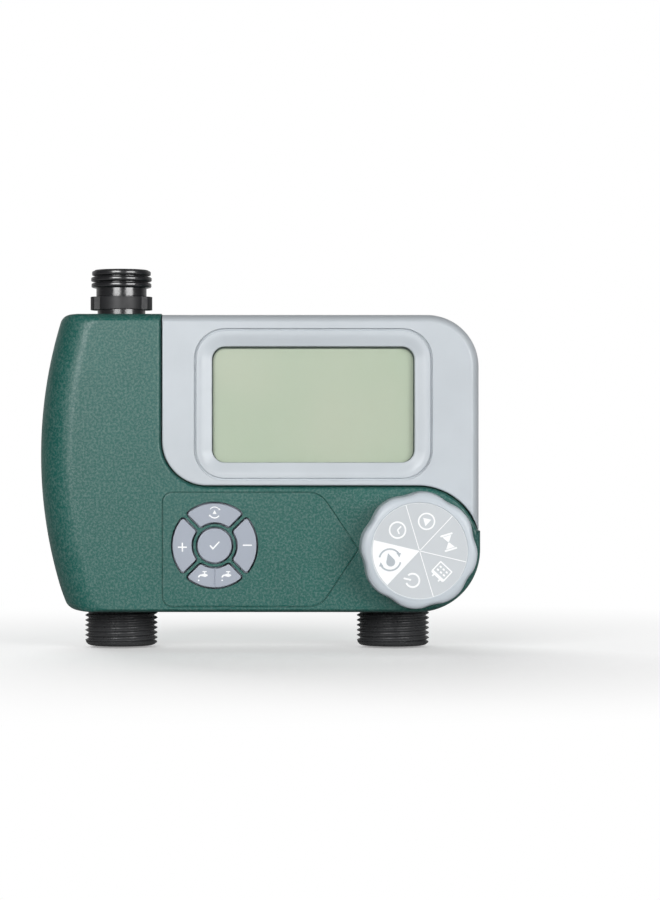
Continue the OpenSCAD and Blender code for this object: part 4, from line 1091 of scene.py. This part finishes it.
def inlet():
    """Spigot with three thick level crests, a collar and two bayonet lugs."""
    seat = INLET_TOP - 6.9
    collar = (TOP + 2.4, TOP + 7.1)
    profile = [(6.8, INLET_TOP - 3.4), (8, INLET_TOP - 3.4), (8, INLET_TOP - 0.5),
               (8.3, INLET_TOP - 0.2), (9.6, INLET_TOP - 0.2), (9.9, INLET_TOP - 0.35)]
    for i, worn in enumerate((0.32, 0, 0.12)):
        middle = INLET_TOP - 1.45 - INLET_PITCH * i
        height = INLET_R - worn - INLET_ROOT
        profile += [(INLET_ROOT + height * rise, middle + lift) for rise, lift in CREST]
    profile += [(INLET_ROOT, seat), (NECK_R, seat - 0.05), (NECK_R, collar[1] + 0.35),
                (NECK_R - 0.12, collar[1] + 0.25), (NECK_R - 0.12, collar[1]),
                (NECK_R, collar[1] - 0.05), (NECK_R, collar[0] + 0.05), (8.75, collar[0]),
                (8.75, TOP + 0.3), (NECK_R, TOP - 0.3), (NECK_R, TOP - 2.8), (12.5, TOP - 2.8),
                (12.5, TOP - 5.4), (8.9, TOP - 5.6), (8.9, INLET_LOW + 4.2),
                (7.7, INLET_LOW + 4.2), (7.7, INLET_LOW + 2), (8.9, INLET_LOW + 2),
                (8.9, INLET_LOW), (6.8, INLET_LOW)]
    place(turned(profile, 0, 0, 128), "inlet", "black_plastic", ["inlet_spigot"], sharp=30,
          weighted=False)
    ring = rod(9.45, *collar, 0, 0, count=128, bevel=0.15, hole=9.1)
    for side in (-1, 1):
        lug = [spin((side * 11.3, 0), side * a) for a in range(-28, 29, 4)]
        lug += [(side * 9.7, 5.55), (side * 6.0, 5.6), (side * 6.0, -5.6), (side * 9.7, -5.55)]
        block = skin([[(x, y, z) for x, y in lug] for z in collar])
        carve(block, rod(9.15, collar[0] - 1, collar[1] + 1, 0, 0, count=128))
        join(ring, block)
    place(ring, "inlet_collar", "black_plastic", paint=MATT_BLACK, sharp=30, weighted=False)


# ---------- battery door and springs ----------


def battery_door():
    low, high = corners("battery_door")
    front, back = REAR - 1.5, REAR + 0.3
    foot, edge = HINGE.z + 0.7, 0.6
    cz = (foot + high.z) / 2
    w, h = high.x - low.x, high.z - foot
    layers = [(front, rounded_rect(HINGE.x, cz, w, h, 1.2))]
    for share, deep in reversed(quarter(6)):
        inset = 2 * edge * share
        layers.append((back - edge * deep, rounded_rect(HINGE.x, cz, w - inset, h - inset, 1.2)))
    door = loft(layers)
    for ends in ((-31.4, 0.2 - BARREL), (BARREL - 0.2, 31.4)):
        carve(door, hinge_rod(2.25, *ends))
    join(door, hinge_rod(BARREL_R, -BARREL, BARREL, 0.3, BORE_R))
    carve(door, hinge_rod(BORE_R, 0.2 - BARREL, BARREL - 0.2))
    for i in range(4):
        rib = arc(high.z - 2.5 - 2 * i, back - 0.05, -0.55, 0.7, 0, 180, 8)
        join(door, skin([[(HINGE.x + x, y, z) for z, y in rib] for x in (-9, 9)]))
    place(door, "battery_lid", "green_housing", ["battery_door"], body="door")


def coil_mesh(x, z, y0, y1, radius, wire, turns):
    """Closed helical wire along Y, with its end turns laid flat."""
    steps, sides = 26, 10
    total = turns * steps
    rings = []
    for i in range(total + 1):
        t, a = i / total, tau * i / steps
        y = y0 + wire + (y1 - y0 - 2 * wire) * (smooth(t) * 0.35 + t * 0.65)
        rings.append([(x + r * cos(a), y + dy, z + r * sin(a))
                      for r, dy in circle(radius, 0, wire, sides)])
    return skin(rings)


def plunger_springs():
    wire, lifted_keep = 0.38, 0.70  # radius of the wire; share of the length left when lifted
    for side in ("left", "right"):
        node = f"{side}_plunger_spring"
        low, high = corners(node)
        middle = centre(node)
        radius = (high.x - low.x) / 2 - wire - 0.02
        spring = coil_mesh(middle.x, middle.z, low.y, high.y, radius, wire, 5)
        place(spring, f"{side}_return_spring", "spring_steel", [node], weighted=False)
        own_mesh(spring)


# ---------- stage ----------


MIDDLE = Vector((0.05, 0, 0.08))  # near the middle of the object, in metres
WHITE = (1, 1, 1, 1)


def softbox(name, azimuth, distance, width, height, level, power, glossy=True):
    """Large soft light at an angle round the object, turned towards it."""
    a = radians(azimuth)
    spot = Vector((MIDDLE.x + distance * sin(a), -distance * cos(a), level))
    data = bpy.data.lights.new(name, "AREA")
    data.shape = "RECTANGLE"
    data.size, data.size_y = width, height
    data.energy = power
    lamp = linked(name, data)
    lamp.location = spot
    lamp.rotation_euler = (MIDDLE - spot).to_track_quat("-Z", "Y").to_euler()
    lamp.visible_camera = False
    lamp.visible_glossy = glossy


def floor():
    """Pale floor that turns white away from the object and is clear from below."""
    size, level = 3.0, -0.0002
    points = [(x * size, y * size, level) for x, y in ((-1, -1), (1, -1), (1, 1), (-1, 1))]
    mesh = bpy.data.meshes.new("floor")
    mesh.from_pydata(points, [], [(0, 1, 2, 3)])
    net = Net("pale_floor")
    spot = net.here()
    drift = net.noise(spot, 300)
    ray = net.add("LightPath", output="Is Camera Ray")
    seen = net.mix(drift, (0.88, 0.88, 0.88, 1), (0.92, 0.92, 0.92, 1))
    body = net.mix(ray, (0.35, 0.35, 0.35, 1), seen)
    reach = net.add("VectorMath", {0: spot, 1: (MIDDLE.x, 0, 0)}, "Value", operation="DISTANCE")
    far = net.span(reach, 0, 1, 0.10, 0.32)
    near = net.add("BsdfDiffuse", {"Color": body})
    lift = net.add("Emission", {"Color": WHITE, "Strength": 0.30})
    both = net.add("AddShader", {0: near, 1: lift})
    white = net.add("Emission", {"Color": WHITE, "Strength": 1.0})
    shown = net.add("MixShader", {0: far, 1: both, 2: white})
    above = net.add("MixShader", {0: ray, 1: near, 2: shown})
    below = net.add("NewGeometry", output="Backfacing")
    clear = net.add("BsdfTransparent")
    mesh.materials.append(net.surface(net.add("MixShader", {0: below, 1: above, 2: clear})))
    linked("floor", mesh)


def studio():
    """World that is white low behind the object and dim in front and above."""
    world = bpy.data.worlds.new("studio")
    bpy.context.scene.world = world
    net = Net("studio", world)
    way = net.add("TexCoord", output="Generated")
    behind = net.span(net.add("SeparateXYZ", {"Vector": way}, "Y"), 0, 1, 0.25, 0.7)
    low = net.span(net.add("SeparateXYZ", {"Vector": way}, "Z"), 1, 0, 0.25, 0.7)
    light = net.span(net.scaled(behind, low), 0.07, 0.4)
    ray = net.add("LightPath", output="Is Camera Ray")
    strength = net.add("Math", {0: light, 1: ray}, operation="MAXIMUM")
    net.surface(net.add("Background", {"Color": WHITE, "Strength": strength}), "World")


def camera():
    data = bpy.data.cameras.new("camera")
    data.lens = 120
    data.sensor_width = 36
    data.shift_x = 0.062
    obj = linked("camera", data)
    obj.location = (0.056, -1.1, 0.0719)
    obj.rotation_euler = (pi / 2, 0, 0)
    bpy.context.scene.camera = obj


# ---------- build ----------

paint_frame()
front_shell()
rear_shell()
housing_gasket()
display_cover()
display_window()
window_painted_shadow()
ring_key("top_key", "manual", 0, CYCLE, (0, 0.1))
ring_key("plus_button", "plus", 90, PLUS, (0.2, -0.6))
ring_key("minus_button", "minus", 270, MINUS, (0, 0.1))
middle_key()
rocker_key()
keypad_mat()
selector_knob()
dial()
outlet(OUTLET_X[0], "left")
outlet(OUTLET_X[1], "right")
inlet()
battery_door()
plunger_springs()

floor()
studio()
softbox("left_softbox", -20, 1.3, 0.70, 0.50, 0.40, 11)
softbox("right_softbox", 38, 1.3, 0.78, 0.46, 0.30, 9.5)
softbox("rear_softbox", 195, 1.2, 1.0, 0.6, 0.50, 15, False)
camera()
bpy.context.scene.view_settings.view_transform = "Standard"
